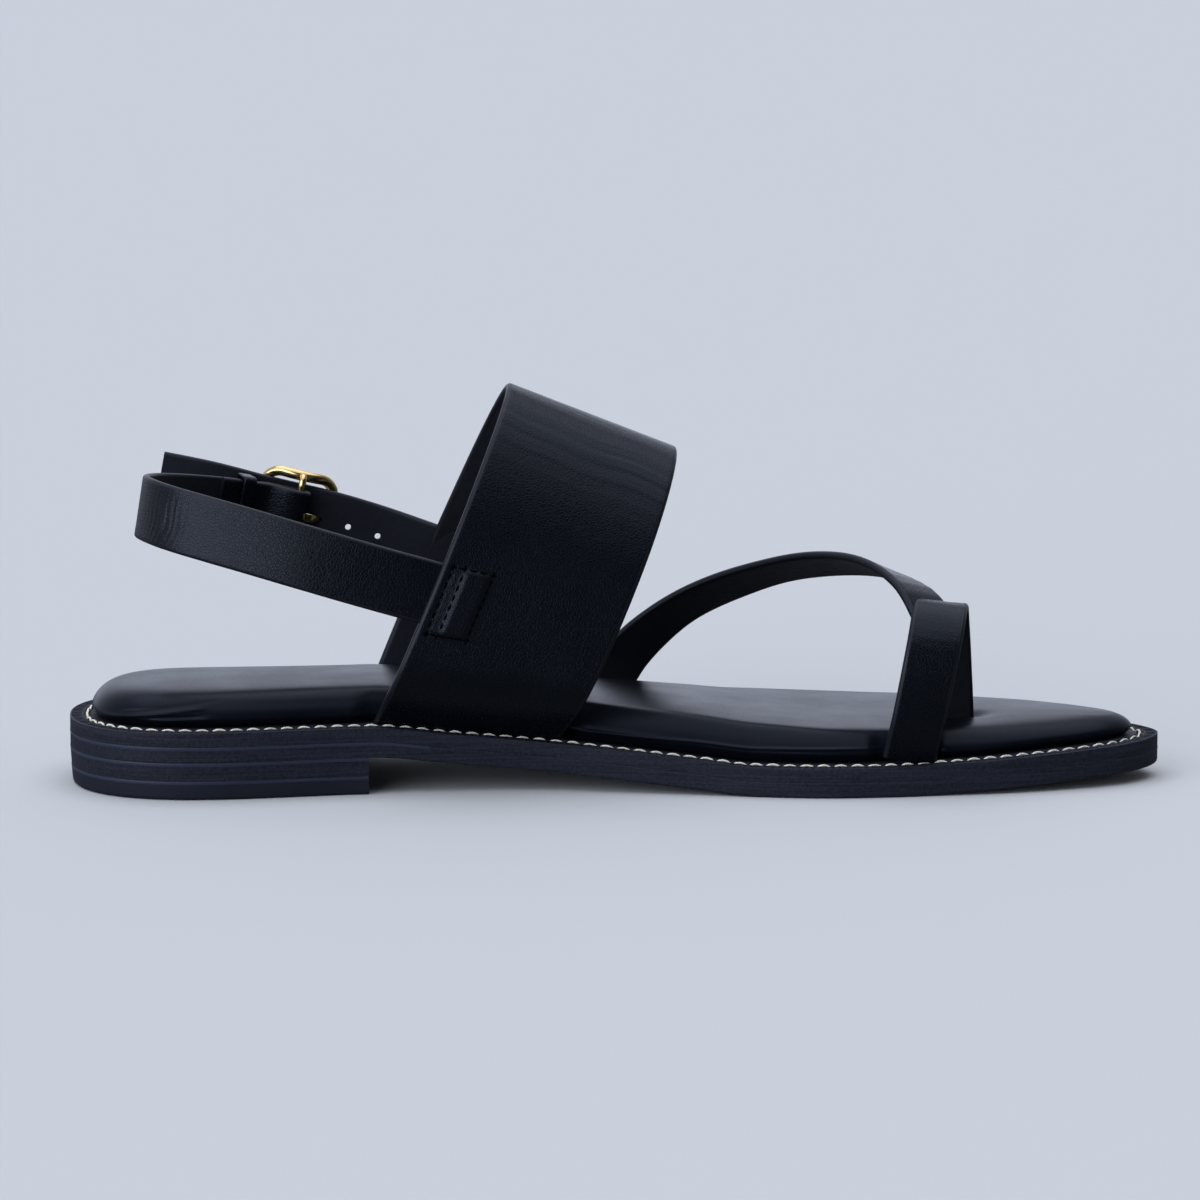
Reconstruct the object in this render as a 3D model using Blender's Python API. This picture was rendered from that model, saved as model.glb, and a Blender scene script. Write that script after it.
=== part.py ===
"""Slingback sandal for the left foot: layered sole, padded footbed, leather straps and a buckle.

Sizes are millimetres on the last. Station runs from the back of the heel to the toe, across runs
from the heel's centre line and grows towards the outer side of the foot, and height is from the
floor. Meshes are written in metres, with the origin on the floor under the middle of the sole.
"""
import math

import bmesh
import bpy
import numpy as np

MM = 0.001
GAP = 0.3
SMOOTH_ANGLE = 35.0

# Straps are sampled at these spacings, or closer where they turn more sharply than the limit
SPACING = {"band": 4.5, "toe loop": 3.5, "cross strap": 4.0, "sling": 2.6, "billet": 3.0, "keeper": 2.0}
SHARPEST_TURN = 16.0
FINE_STEPS = 8
STRAP_EDGE = {"share": 0.35, "most": 0.5}

# Sole: a row for each section, then the rounded ends
SOLE_LENGTH = 258.0
SOLE_PLAN = {
    "station": (0, 32, 70, 105, 140, 178, 200, 220, 235, 248, 258),
    "centre": (0, 0, 2.3, 4.2, 4.6, 3.7, 2.2, -1.4, -4.8, -9, -12),
    "half_width": (31, 31, 28.8, 29, 35.5, 42.3, 42.3, 42.3, 42.3, 42.3, 42.3),
}
HEEL_ROUND = {"length": 32.0, "power": 2.25}
TOE_ROUND = {"length": 80.0, "power": 1.75}
SOLE_PROFILE = {
    "station": (0, 70, 90, 112, 130, 148, 160, 190, 209, 229, 258),
    "bottom": (8.8, 8.8, 6.8, 4.6, 2.9, 1.1, 0, 0, 0.7, 1.6, 2.3),
}
SOLE_SAMPLES = 40
OUTSOLE_THICK = 3.4
MIDSOLE_THICK = 3.4
EDGE_BREAK = 0.35
GUTTER = {"inset": 4.1, "width": 1.9, "depth": 0.6}

# Heel
HEEL_BREAST = 70.0
HEEL_INSET = 0.4
TOP_PIECE_THICK = 4.3
TOP_PIECE_EDGE = {"inset": (1.0, 0.33, 0.0), "height": (0.0, 0.6, 1.6)}

# Footbed
FOOTBED_INSET = 6.2
FOOTBED_HEIGHT = {"station": (0, 120, 185, 225, 258), "height": (9.3, 9.3, 8.0, 7.7, 7.0)}
FOOTBED_CROWN = {"reach": 24.0, "power": 2.6}
FOOTBED_SIDE = 0.25
FOOTBED_RINGS = (0.0, 0.8, 2.0, 4.0, 7.0, 11.0)

# Instep band: an arch between two slanted planes, a row for each fold of the strap
BAND_THICK = 2.2
BAND_SLANT = 0.425
BAND_PLANES = {"rear": 64.3, "front": 110.0}
BAND_CROWN = {"rear": 92.6, "front": 76.8}
BAND_LEG_INSET = 6.0
BAND_LEG_FLARE = 1.6
BAND_ARCH = {
    "across": (
        None, None, -27.8, -28.8, -28.2, -25, -18, -8.5,
        1, 10, 19, 25.5, 29.3, 30.2, 29.2, None, None,
    ),
    "rise": (
        0, 0.04, 0.15, 0.27, 0.42, 0.62, 0.82, 0.96,
        1, 0.955, 0.82, 0.62, 0.42, 0.27, 0.15, 0.04, 0,
    ),
    "front_bow": (
        0, 0.4, 1.2, 1.8, 2.0, 2.1, 1.9, 1.4,
        1.2, 1.4, 1.9, 2.1, 2.0, 1.8, 1.2, 0.4, 0,
    ),
}

# Toe loop and cross strap
TOE_THICK = 2.0
TOE_WIDTH = 12.6
TOE_LOOP = {
    "station": (195.8, 196.4, 197.4, 198.8, 200.2, 201.8, 203.2, 204.4, 205.4, 206.3, 207.2, 207.9, 208),
    "across": (-32.8, -33.6, -35.2, -36, -35.6, -33, -28.4, -23, -18, -14.6, -12, -10.3, -10),
    "height": (None, 11, 16.5, 24, 31, 37.4, 41.4, 42.2, 38.8, 32.5, 23, 13, None),
}
CROSS_STRAP = {
    "rear_station": (
        121, 122.5, 127, 133.6, 139.3, 145.8, 155.4,
        164.8, 172.9, 180, 185.6, 191, 194.2, 196.6,
    ),
    "rear_across": (30, 30.8, 33.6, 33.8, 31.8, 28, 21.5, 14, 6, -3, -12, -20.2, -25.4, -29.6),
    "rear_height": (None, 14.5, 22, 29.3, 34.1, 38.8, 44.1, 48, 50.9, 52.4, 52.4, 50, 46.8, 42),
    "front_station": (
        133, 134, 137.2, 141.2, 147, 153.2, 162.8,
        172.5, 180.5, 187.7, 194, 199.6, 203.8, 206.8,
    ),
    "front_across": (32.4, 33.2, 36.4, 37.8, 36.6, 33.8, 27.6, 21, 13, 5, -4, -12.4, -18, -22.4),
    "front_height": (None, 11.5, 15.8, 21.2, 27.4, 32.6, 38.2, 42.7, 45.2, 46.7, 47.4, 46.7, 44.9, 41.4),
}

# Sling and billet: centre lines, with the lean of the strap's top edge towards the foot
SLING_THICK = 1.6
SLING_WIDTH = 15.0
SLING_PATH = {
    "station": (99, 92, 86, 78, 66, 52, 40, 30, 22.5, 18, 16.6, 18.2, 23, 28.6, 34, 38.6, 43.4),
    "across": (
        -25.6, -26.8, -27.3, -27.6, -27.4, -26, -23.2, -19.4,
        -13.6, -6.4, 0, 7, 15, 20.8, 24.9, 27.6, 29.6,
    ),
    "height": (
        43.3, 45.4, 47.2, 49.5, 53, 57.1, 60.4, 62.8,
        64.3, 65, 65, 64.5, 63.5, 62.5, 61.5, 60.6, 59.6,
    ),
    "lean": (6, 6, 6, 5, 5, 5, 4, 2, -2, -5, -5, -5, -2, 1, 2, 2, 1),
}
ANKLE = (90.0, 2.0, 50.0)
FOLD_END_STATION = 33.0
FOLD_TURN = 30
FOLD_TAPER = {"along": (-7.5, -3.5), "outer": (0.6, 0.1), "inner": (1.4, 0.4)}
BILLET_PATH = {
    "station": (99, 93, 87, 80.5, 73),
    "across": (27.1, 27.6, 28.4, 30.2, 31.9),
    "height": (45, 46.9, 48.8, 50.9, 53.3),
    "lean": (4, 4, 4, 2, 0),
}
BILLET_OVER_BUCKLE = {"along": (7.6, 0.0, -7.6), "lift": (-0.7, 0.1, 0.0)}
BILLET_TIP = {"station": (34, 21.2), "across": (32.3, 33.6), "height": (63.9, 66.5), "lean": (0, 0)}
BILLET_HOLES = {"count": 5, "pitch": 7.4, "radius": 0.95, "worn_radius": 1.6}
PUNCH = {"sides": 12, "reach": 2.4}

# Buckle: centred on its bar, along the strap (u), up across it (v) and out from the foot (w)
BUCKLE_BAR = {"station": 54.5, "across": 29.4, "height": 57.8}
STRAP_DIRECTION = (1.0, 0.06, -0.25)
BUCKLE_LENGTH = 15.2
BUCKLE_HEIGHT = 22.9
BUCKLE_CORNER = 3.8
BUCKLE_CAMBER = {"middle": 2.4, "rail": 6.2}
RAIL_RADIUS = 1.1
BAR_RADIUS = 0.9
PRONG_RADIUS = 0.7
PRONG_HOLE = 5.2
CORNER_STEPS = 4
TUBE_SIDES = 8
PRONG_PATH = {"along": (3.0, 4.4, 5.15, 5.35, 5.5), "out": (1.0, 1.9, 3.2, 4.6, 5.8)}
PRONG_TIP = {"before": 1.5, "dip": 0.7, "past": 1.3}
PRONG_LOOP = {"first": -270, "last": 15, "turn": 30}
PRONG_SLOT = {"width": 2.4, "length": 8.0, "depth": 8.0}
BAR_CRANK = {"above": 0.4, "out": 0.4, "below": 0.6}
SLING_DROP = -0.6
BILLET_LIFT = 0.7
KEEPER = {"station": 40.0, "width": 3.4, "thick": 1.0}

COLOURS = {
    "black_leather": ((0.010, 0.012, 0.017), 0.45, 0.0),
    "footbed_leather": ((0.012, 0.014, 0.019), 0.38, 0.0),
    "sole_edge": ((0.022, 0.027, 0.040), 0.55, 0.0),
    "heel_rubber": ((0.012, 0.014, 0.020), 0.65, 0.0),
    "brass": ((0.72, 0.50, 0.18), 0.25, 1.0),
}


def unit(vectors):
    """Scale each vector of an array to length one."""
    return vectors / np.linalg.norm(vectors, axis=-1, keepdims=True)


def smooth_value(table, column, station):
    """Read a column of a table at a station, without overshoot between its rows."""
    at = np.asarray(table["station"], float)
    values = np.asarray(table[column], float)
    rates = np.diff(values) / np.diff(at)
    slopes = np.zeros(len(at))
    slopes[0], slopes[-1] = rates[0], rates[-1]
    for row in range(1, len(at) - 1):
        before, after = rates[row - 1], rates[row]
        if before * after > 0:
            slopes[row] = 2 * before * after / (before + after)
    station = min(max(station, at[0]), at[-1])
    row = min(int(np.searchsorted(at, station, side="right")) - 1, len(at) - 2)
    step = at[row + 1] - at[row]
    t = (station - at[row]) / step
    ease = t * t * (3 - 2 * t)
    lead = t * (1 - t) ** 2 * slopes[row] - t * t * (1 - t) * slopes[row + 1]
    return float(values[row] + ease * (values[row + 1] - values[row]) + step * lead)


def smooth_path(rows, spacing):
    """Pass one smooth curve through the rows and read it at steps of about the spacing."""
    rows = np.asarray(rows, float)
    steps = np.linalg.norm(np.diff(rows[:, :3], axis=0), axis=1)
    knots = np.concatenate(([0.0], np.cumsum(steps)))
    count = len(knots)
    system = np.eye(count)
    pull = np.zeros((count, rows.shape[1]))
    for row in range(1, count - 1):
        before, after = steps[row - 1], steps[row]
        system[row, row - 1:row + 2] = before, 2 * (before + after), after
        pull[row] = 6 * ((rows[row + 1] - rows[row]) / after - (rows[row] - rows[row - 1]) / before)
    bend = np.linalg.solve(system, pull)
    samples = []
    for distance in np.linspace(0, knots[-1], int(round(FINE_STEPS * knots[-1] / spacing)) + 1):
        row = min(int(np.searchsorted(knots, distance, side="right")) - 1, count - 2)
        step = steps[row]
        b = (distance - knots[row]) / step
        a = 1 - b
        curve = ((a ** 3 - a) * bend[row] + (b ** 3 - b) * bend[row + 1]) * step * step / 6
        samples.append(a * rows[row] + b * rows[row + 1] + curve)
    return thin_path(np.array(samples), spacing)


def thin_path(samples, spacing):
    """Keep the samples that follow each other at the spacing, or closer where the path turns sharply."""
    heading = unit(np.gradient(samples[:, :3], axis=0))
    kept = [0]
    for k in range(1, len(samples) - 1):
        far = np.linalg.norm(samples[k, :3] - samples[kept[-1], :3]) >= spacing
        turned = np.dot(heading[k], heading[kept[-1]]) < math.cos(math.radians(SHARPEST_TURN))
        if far or turned:
            kept.append(k)
    return samples[kept + [len(samples) - 1]]


def rounded_share(distance, shape):
    """Return the share of the full width at a distance from a rounded end."""
    back = max(0.0, 1 - distance / shape["length"])
    return (1 - back ** shape["power"]) ** (1 / shape["power"])


def sole_edge(station, side):
    """Return the across position of the sole's edge, side -1 for the inner and 1 for the outer."""
    half = smooth_value(SOLE_PLAN, "half_width", station)
    half *= rounded_share(station, HEEL_ROUND) * rounded_share(SOLE_LENGTH - station, TOE_ROUND)
    return smooth_value(SOLE_PLAN, "centre", station) + side * half


def sole_bottom(station):
    """Return the height of the outsole's lower face."""
    return smooth_value(SOLE_PROFILE, "bottom", station)


def welt_top(station):
    """Return the height of the welt's upper face."""
    return sole_bottom(station) + OUTSOLE_THICK + GAP + MIDSOLE_THICK


def sole_outline(inset=0.0, end=SOLE_LENGTH):
    """Return the outline from the heel along the inner side and back along the outer side."""
    spread = [SOLE_LENGTH * (1 - math.cos(math.pi * k / SOLE_SAMPLES)) / 2 for k in range(1, SOLE_SAMPLES)]
    stations = [s for s in spread if s < end - 1]
    inner = [(s, sole_edge(s, -1)) for s in stations]
    outer = [(s, sole_edge(s, 1)) for s in stations]
    whole = end == SOLE_LENGTH
    tip = [(SOLE_LENGTH, SOLE_PLAN["centre"][-1])]
    if not whole:
        tip = [(end, sole_edge(end, side)) for side in (-1, 1)]
    points = np.array([(0.0, SOLE_PLAN["centre"][0])] + inner + tip + outer[::-1])
    along = np.roll(points, -1, axis=0) - np.roll(points, 1, axis=0)
    along /= np.linalg.norm(along, axis=1)[:, None]
    moved = points + inset * np.column_stack((-along[:, 1], along[:, 0]))
    if not whole:
        for corner, side in ((len(inner) + 1, 1), (len(inner) + 2, -1)):
            moved[corner] = end, points[corner][1] + side * inset
    return moved


PLAN_MIDDLE = float(np.mean([sole_outline()[:, 1].min(), sole_outline()[:, 1].max()]))


def world(point):
    """Turn a point of the last into metres from the part's origin."""
    return ((point[0] - SOLE_LENGTH / 2) * MM, (point[1] - PLAN_MIDDLE) * MM, point[2] * MM)


def material(name):
    """Return the named finish, made on first use."""
    made = bpy.data.materials.get(name) or bpy.data.materials.new(name)
    colour, roughness, metallic = COLOURS[name]
    made.use_nodes = True
    shader = made.node_tree.nodes["Principled BSDF"]
    shader.inputs["Base Color"].default_value = (*colour, 1)
    shader.inputs["Roughness"].default_value = roughness
    shader.inputs["Metallic"].default_value = metallic
    return made


def add_object(name, mesh_builder, finish):
    """Make an object from a filled bmesh, with its faces turned outwards."""
    bmesh.ops.recalc_face_normals(mesh_builder, faces=mesh_builder.faces)
    mesh = bpy.data.meshes.new(name)
    mesh_builder.to_mesh(mesh)
    mesh_builder.free()
    mesh.shade_smooth()
    mesh.set_sharp_from_angle(angle=math.radians(SMOOTH_ANGLE))
    made = bpy.data.objects.new(name, mesh)
    made.data.materials.append(material(finish))
    bpy.context.scene.collection.objects.link(made)
    return made


def loft(rings, closed=True):
    """Skin a run of equal rings, and return the bmesh with the vertices of each ring."""
    builder = bmesh.new()
    loops = [[builder.verts.new(world(point)) for point in ring] for ring in rings]
    pairs = list(zip(loops, loops[1:]))
    if not closed:
        pairs.append((loops[-1], loops[0]))
    for low, high in pairs:
        for k in range(len(low)):
            after = (k + 1) % len(low)
            builder.faces.new((low[k], low[after], high[after], high[k]))
    return builder, loops


def cap_across(builder, loop, whole, ridge=None):
    """Close a sole outline with strips from side to side, over a raised middle line if given."""
    count = len(loop)
    last = count // 2 if whole else (count - 1) // 2
    middles = {}
    for k in range(1, last + (0 if whole else 1)):
        inner, outer = loop[k], loop[count - k]
        middles[k] = [inner, outer]
        if ridge:
            middles[k].insert(1, builder.verts.new(ridge(inner, outer)))
    rows = [[loop[0]]] + [middles[k] for k in sorted(middles)] + ([[loop[last]]] if whole else [])
    for near, far in zip(rows, rows[1:]):
        if len(near) == 1 or len(far) == 1:
            point, row = (near[0], far) if len(near) == 1 else (far[0], near)
            for a, b in zip(row, row[1:]):
                builder.faces.new((point, a, b))
        else:
            for k in range(len(near) - 1):
                builder.faces.new((near[k], near[k + 1], far[k + 1], far[k]))


def sole_ring(inset, height, end=SOLE_LENGTH):
    """Return the outline at an inset, each point at the height that its station has."""
    return [(s, y, height(s)) for s, y in sole_outline(inset, end)]


def sole_layer(name, steps, finish, end=SOLE_LENGTH):
    """Build a sole layer from steps of inset and height, lowest first."""
    builder, loops = loft([sole_ring(inset, height, end) for inset, height in steps])
    whole = end == SOLE_LENGTH
    cap_across(builder, loops[0], whole)
    cap_across(builder, loops[-1], whole)
    return add_object(name, builder, finish)


def build_outsole():
    """Build the lower sole layer, with its arch, flat tread and toe spring."""
    top = OUTSOLE_THICK
    steps = (
        (2 * EDGE_BREAK, sole_bottom),
        (0, lambda s: sole_bottom(s) + 2 * EDGE_BREAK),
        (0, lambda s: sole_bottom(s) + top - EDGE_BREAK),
        (EDGE_BREAK, lambda s: sole_bottom(s) + top),
    )
    return sole_layer("outsole", steps, "sole_edge")


def build_midsole():
    """Build the upper sole layer, with the stitch gutter round its welt."""
    base = OUTSOLE_THICK + GAP
    near = GUTTER["inset"] - GUTTER["width"] / 2
    far = GUTTER["inset"] + GUTTER["width"] / 2
    steps = (
        (EDGE_BREAK, lambda s: sole_bottom(s) + base),
        (0, lambda s: sole_bottom(s) + base + EDGE_BREAK),
        (0, lambda s: welt_top(s) - EDGE_BREAK),
        (EDGE_BREAK, welt_top),
        (near, welt_top),
        (near + GUTTER["depth"], lambda s: welt_top(s) - GUTTER["depth"]),
        (far - GUTTER["depth"], lambda s: welt_top(s) - GUTTER["depth"]),
        (far, welt_top),
    )
    return sole_layer("midsole", steps, "sole_edge")


def build_heel():
    """Build the heel's lift and the rubber top piece under it, with a straight breast."""
    lift_low = TOP_PIECE_THICK + GAP
    lift_high = sole_bottom(0) - GAP
    lift = (
        (HEEL_INSET + EDGE_BREAK, lambda s: lift_low),
        (HEEL_INSET, lambda s: lift_low + EDGE_BREAK),
        (HEEL_INSET, lambda s: lift_high - EDGE_BREAK),
        (HEEL_INSET + EDGE_BREAK, lambda s: lift_high),
    )
    top_piece = (
        *((HEEL_INSET + inset, lambda s, z=z: z) for inset, z in zip(*TOP_PIECE_EDGE.values())),
        (HEEL_INSET, lambda s: TOP_PIECE_THICK - EDGE_BREAK),
        (HEEL_INSET + EDGE_BREAK, lambda s: TOP_PIECE_THICK),
    )
    sole_layer("heel_lift", lift, "sole_edge", HEEL_BREAST)
    sole_layer("heel_top_piece", top_piece, "heel_rubber", HEEL_BREAST)


def footbed_top(station, depth):
    """Return the height of the padded footbed at a station and a distance inside its edge."""
    back = max(0.0, 1 - depth / FOOTBED_CROWN["reach"])
    power = FOOTBED_CROWN["power"]
    share = max((1 - back ** power) ** (1 / power), FOOTBED_SIDE)
    return welt_top(station) + share * smooth_value(FOOTBED_HEIGHT, "height", station)


def build_footbed(cutters):
    """Build the padded footbed, pressed in where the straps go down beside and through it."""
    rings = [sole_ring(FOOTBED_INSET, lambda s: welt_top(s) + GAP)]
    for depth in FOOTBED_RINGS:
        rings.append(sole_ring(FOOTBED_INSET + depth, lambda s, depth=depth: footbed_top(s, depth)))
    builder, loops = loft(rings)

    def ridge(inner, outer):
        """Return the crowned point halfway between the two sides."""
        middle = (inner.co + outer.co) / 2
        station = middle.x / MM + SOLE_LENGTH / 2
        depth = FOOTBED_RINGS[-1] + (outer.co - inner.co).length / MM / 2
        middle.z = footbed_top(station, depth) * MM
        return middle

    cap_across(builder, loops[0], True)
    cap_across(builder, loops[-1], True, ridge)
    footbed = add_object("footbed", builder, "footbed_leather")
    for cutter in cutters:
        combine(footbed, cutter, "DIFFERENCE")
    return footbed


def combine(target, other, operation):
    """Join or cut the target with another object, which is then only a guide."""
    modifier = target.modifiers.new(f"{operation.lower()} {other.name}", "BOOLEAN")
    modifier.operation = operation
    modifier.solver = "EXACT"
    modifier.object = other
    other.hide_render = True
    other.display_type = "WIRE"


def strap(name, edge_a, edge_b, thick, grow=0.0, seats=(), splits=1):
    """Build a strap between two edge lines, with softened edges, grown all round if asked.

    The ends named in seats are cut level with the welt that they stand on.
    """
    edge_a, edge_b = np.asarray(edge_a, float), np.asarray(edge_b, float)
    along = unit(np.gradient((edge_a + edge_b) / 2, axis=0))
    if grow:
        for edge in (edge_a, edge_b):
            edge[0] -= grow * along[0]
            edge[-1] += grow * along[-1]
    across = edge_b - edge_a
    half = np.linalg.norm(across, axis=1) / 2 + grow
    across = unit(across)
    out = unit(np.cross(across, along))
    deep = thick / 2 + grow
    soft = min(STRAP_EDGE["share"] * thick, STRAP_EDGE["most"])
    face = [2 * k / splits - 1 for k in range(splits + 1)]
    rings = []
    for a, b, side, normal, reach in zip(edge_a, edge_b, across, out, half):
        middle = (a + b) / 2
        flat = [(share * (reach - soft), deep) for share in face]
        profile = flat + [(reach, deep - soft), (reach, soft - deep)]
        profile += [(u, -v) for u, v in flat[::-1]] + [(-reach, soft - deep), (-reach, deep - soft)]
        rings.append([middle + u * side + v * normal for u, v in profile])
    for end in seats:
        for point in rings[end]:
            point[2] = welt_top(point[0]) + GAP - grow
    builder, loops = loft(rings)
    builder.faces.new(loops[0])
    builder.faces.new(loops[-1])
    return add_object(name, builder, "black_leather")


def band_edge(plane, base_station):
    """Return one edge of the instep band, from the inner welt over the instep to the outer welt."""
    rows = []
    half_rows = len(BAND_ARCH["rise"]) // 2
    for row, (across, rise, bow) in enumerate(zip(*BAND_ARCH.values())):
        side = -1 if row < half_rows else 1
        foot = welt_top(base_station) + GAP
        height = foot + rise * (BAND_CROWN[plane] - foot)
        station = base_station + BAND_SLANT * (height - foot) + (bow if plane == "front" else 0)
        if across is None:
            inset = BAND_LEG_INSET - (BAND_LEG_FLARE if rise else 0)
            across = sole_edge(base_station, side) - side * inset
        rows.append((station, across, height))
    return rows


def band_base(plane):
    """Return the station where an edge of the band meets the welt."""
    station = BAND_PLANES[plane] + BAND_SLANT * welt_top(BAND_PLANES[plane])
    for _ in range(4):
        station = BAND_PLANES[plane] + BAND_SLANT * (welt_top(station) + GAP)
    return station


def build_band(name, grow=0.0):
    """Build the wide band over the instep."""
    rear = band_edge("rear", band_base("rear"))
    front = band_edge("front", band_base("front"))
    both = smooth_path(np.hstack((rear, front)), SPACING["band"])
    return strap(name, both[:, :3], both[:, 3:], BAND_THICK, grow, seats=(0, -1), splits=3)


def filled_rows(table, columns, first_last):
    """Return a strap's rows, its open heights set just above the welt."""
    rows = np.array([[np.nan if v is None else v for v in table[c]] for c in columns], float).T
    for row in first_last:
        for column in np.flatnonzero(np.isnan(rows[row])):
            rows[row, column] = welt_top(rows[row, column - 2]) + GAP
    return rows


def build_toe_loop(name, grow=0.0):
    """Build the loop for the big toe, from the inner welt into the footbed's slit."""
    path = smooth_path(filled_rows(TOE_LOOP, ("station", "across", "height"), (0, -1)), SPACING["toe loop"])
    edges = edges_beside(path, (1.0, 0.0, 0.0), TOE_WIDTH)
    return strap(name, *edges, TOE_THICK, grow, seats=(0, -1))


def build_cross_strap(name, grow=0.0):
    """Build the strap from the outer welt across the toes to the toe loop."""
    columns = [f"{edge}_{size}" for edge in ("rear", "front") for size in ("station", "across", "height")]
    both = smooth_path(filled_rows(CROSS_STRAP, columns, (0,)), SPACING["cross strap"])
    return strap(name, both[:, :3], both[:, 3:], TOE_THICK, grow, seats=(0,))


def edges_beside(path, across, width):
    """Return the two edges of a strap that follows a path, its width nearest to the given direction."""
    along = unit(np.gradient(path, axis=0))
    across = np.broadcast_to(np.asarray(across, float), path.shape)
    across = unit(across - np.sum(across * along, axis=1)[:, None] * along)
    return path - across * width / 2, path + across * width / 2


def leaning_edges(path, width):
    """Return the edges of an upright strap, its top leaning towards the foot by the path's last column."""
    points, lean = path[:, :3], np.radians(path[:, 3])
    along = unit(np.gradient(points, axis=0))
    up = np.broadcast_to(STRAP_V, points.shape)
    up = unit(up - np.sum(up * along, axis=1)[:, None] * along)
    inward = np.cross(along, up)
    inward *= np.sign(np.sum(inward * (np.array(ANKLE) - points), axis=1))[:, None]
    return edges_beside(points, up * np.cos(lean)[:, None] + inward * np.sin(lean)[:, None], width)


def table_rows(table):
    """Return a strap's rows of station, across, height and lean."""
    return [list(row) for row in zip(table["station"], table["across"], table["height"], table["lean"])]


STRAP_U = unit(np.array(STRAP_DIRECTION))
STRAP_W = unit(np.array((-STRAP_U[1], STRAP_U[0], 0.0)))
STRAP_V = np.cross(STRAP_U, STRAP_W)
BAR_CENTRE = np.array([BUCKLE_BAR[k] for k in ("station", "across", "height")])


def at_buckle(u, v, w):
    """Return a point given along the strap, up across it and out from the foot."""
    return BAR_CENTRE + u * STRAP_U + v * STRAP_V + w * STRAP_W


LAYER = SLING_THICK + GAP
FOLD_RADIUS = BAR_RADIUS + GAP + SLING_THICK / 2


def sling_rows():
    """Return the sling's centre line, round the heel, round the buckle's bar and back to its end."""
    rows = table_rows(SLING_PATH)
    taper = list(zip(*FOLD_TAPER.values()))
    rows += [[*at_buckle(u, SLING_DROP, FOLD_RADIUS - outer), 0] for u, outer, _ in taper]
    for turn in range(90, -91, -FOLD_TURN):
        angle = math.radians(turn)
        u, w = FOLD_RADIUS * math.cos(angle), FOLD_RADIUS * math.sin(angle)
        rows.append([*at_buckle(u, SLING_DROP, w), 0])
    rows += [[*at_buckle(u, SLING_DROP, inner - FOLD_RADIUS), 0] for u, _, inner in taper[::-1]]
    outside = np.array(table_rows(SLING_PATH))
    heading = np.gradient(outside[:, :3], axis=0)
    inward = unit(np.column_stack((heading[:, 1], -heading[:, 0])))
    for row in range(len(outside) - 1, 0, -1):
        if outside[row, 0] < FOLD_END_STATION or outside[row, 1] < 0:
            break
        inner = outside[row].copy()
        inner[:2] += LAYER * inward[row]
        rows.append(list(inner))
    return rows


def build_sling(name):
    """Build the heel sling, sewn inside the band and folded round the buckle's bar."""
    path = smooth_path(sling_rows(), SPACING["sling"])
    sling = strap(name, *leaning_edges(path, SLING_WIDTH), SLING_THICK)
    slot = box_at_buckle("prong slot", **PRONG_SLOT)
    combine(sling, slot, "DIFFERENCE")
    sling.modifiers.new("slot walls in triangles", "TRIANGULATE")
    return sling


def billet_rows():
    """Return the billet's centre line, from inside the band through the buckle to its square tip."""
    over = FOLD_RADIUS + LAYER
    rows = table_rows(BILLET_PATH)
    for u, lift in zip(*BILLET_OVER_BUCKLE.values()):
        rows.append([*at_buckle(u, BILLET_LIFT, over + lift), 0])
    return rows + table_rows(BILLET_TIP)


def build_billet(name):
    """Build the billet strap with its row of punched holes."""
    path = smooth_path(billet_rows(), SPACING["billet"])
    billet = strap(name, *leaning_edges(path, SLING_WIDTH), SLING_THICK)
    along = (path[:, :3] - BAR_CENTRE) @ STRAP_U
    used = BILLET_HOLES["count"] // 2
    for k in range(BILLET_HOLES["count"]):
        reach = PRONG_HOLE + (k - used) * BILLET_HOLES["pitch"]
        centre = [np.interp(reach, along[::-1], path[::-1, column]) for column in range(3)]
        radius = BILLET_HOLES["worn_radius" if k == used else "radius"]
        combine(billet, punch(f"hole punch {k + 1}", np.array(centre), radius), "DIFFERENCE")
    return billet


def punch(name, centre, radius):
    """Build a punch for a hole through the billet."""
    turns = [2 * math.pi * k / PUNCH["sides"] for k in range(PUNCH["sides"])]
    spokes = [radius * (math.cos(t) * STRAP_U + math.sin(t) * STRAP_V) for t in turns]
    ends = [centre + out * PUNCH["reach"] * STRAP_W for out in (-1, 1)]
    builder, loops = loft([[end + spoke for spoke in spokes] for end in ends])
    builder.faces.new(loops[0])
    builder.faces.new(loops[-1])
    return add_object(name, builder, "black_leather")


def box_at_buckle(name, length, width, depth):
    """Build a box centred on the buckle's bar, for a cut."""
    rings = []
    for w in (-depth / 2, depth / 2):
        corners = ((-length, -width), (length, -width), (length, width), (-length, width))
        rings.append([at_buckle(u / 2, v / 2, w) for u, v in corners])
    builder, loops = loft(rings)
    builder.faces.new(loops[0])
    builder.faces.new(loops[-1])
    return add_object(name, builder, "black_leather")


def tube(name, path, radius, closed=False):
    """Build a round brass bar along a path, its ends flat, or one closed ring."""
    path = np.asarray(path, float)
    if closed:
        along = unit(np.roll(path, -1, axis=0) - np.roll(path, 1, axis=0))
    else:
        along = unit(np.gradient(path, axis=0))
    rings = []
    side = unit(np.cross(along[0], STRAP_W + 0.1 * STRAP_V))
    turns = [2 * math.pi * (k + 0.5) / TUBE_SIDES for k in range(TUBE_SIDES)]
    for point, heading in zip(path, along):
        side = unit(side - heading * np.dot(side, heading))
        other = np.cross(heading, side)
        rings.append([point + radius * (math.cos(t) * side + math.sin(t) * other) for t in turns])
    builder, loops = loft(rings, closed=not closed)
    if not closed:
        builder.faces.new(loops[0])
        builder.faces.new(loops[-1])
    return add_object(name, builder, "brass")


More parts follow.
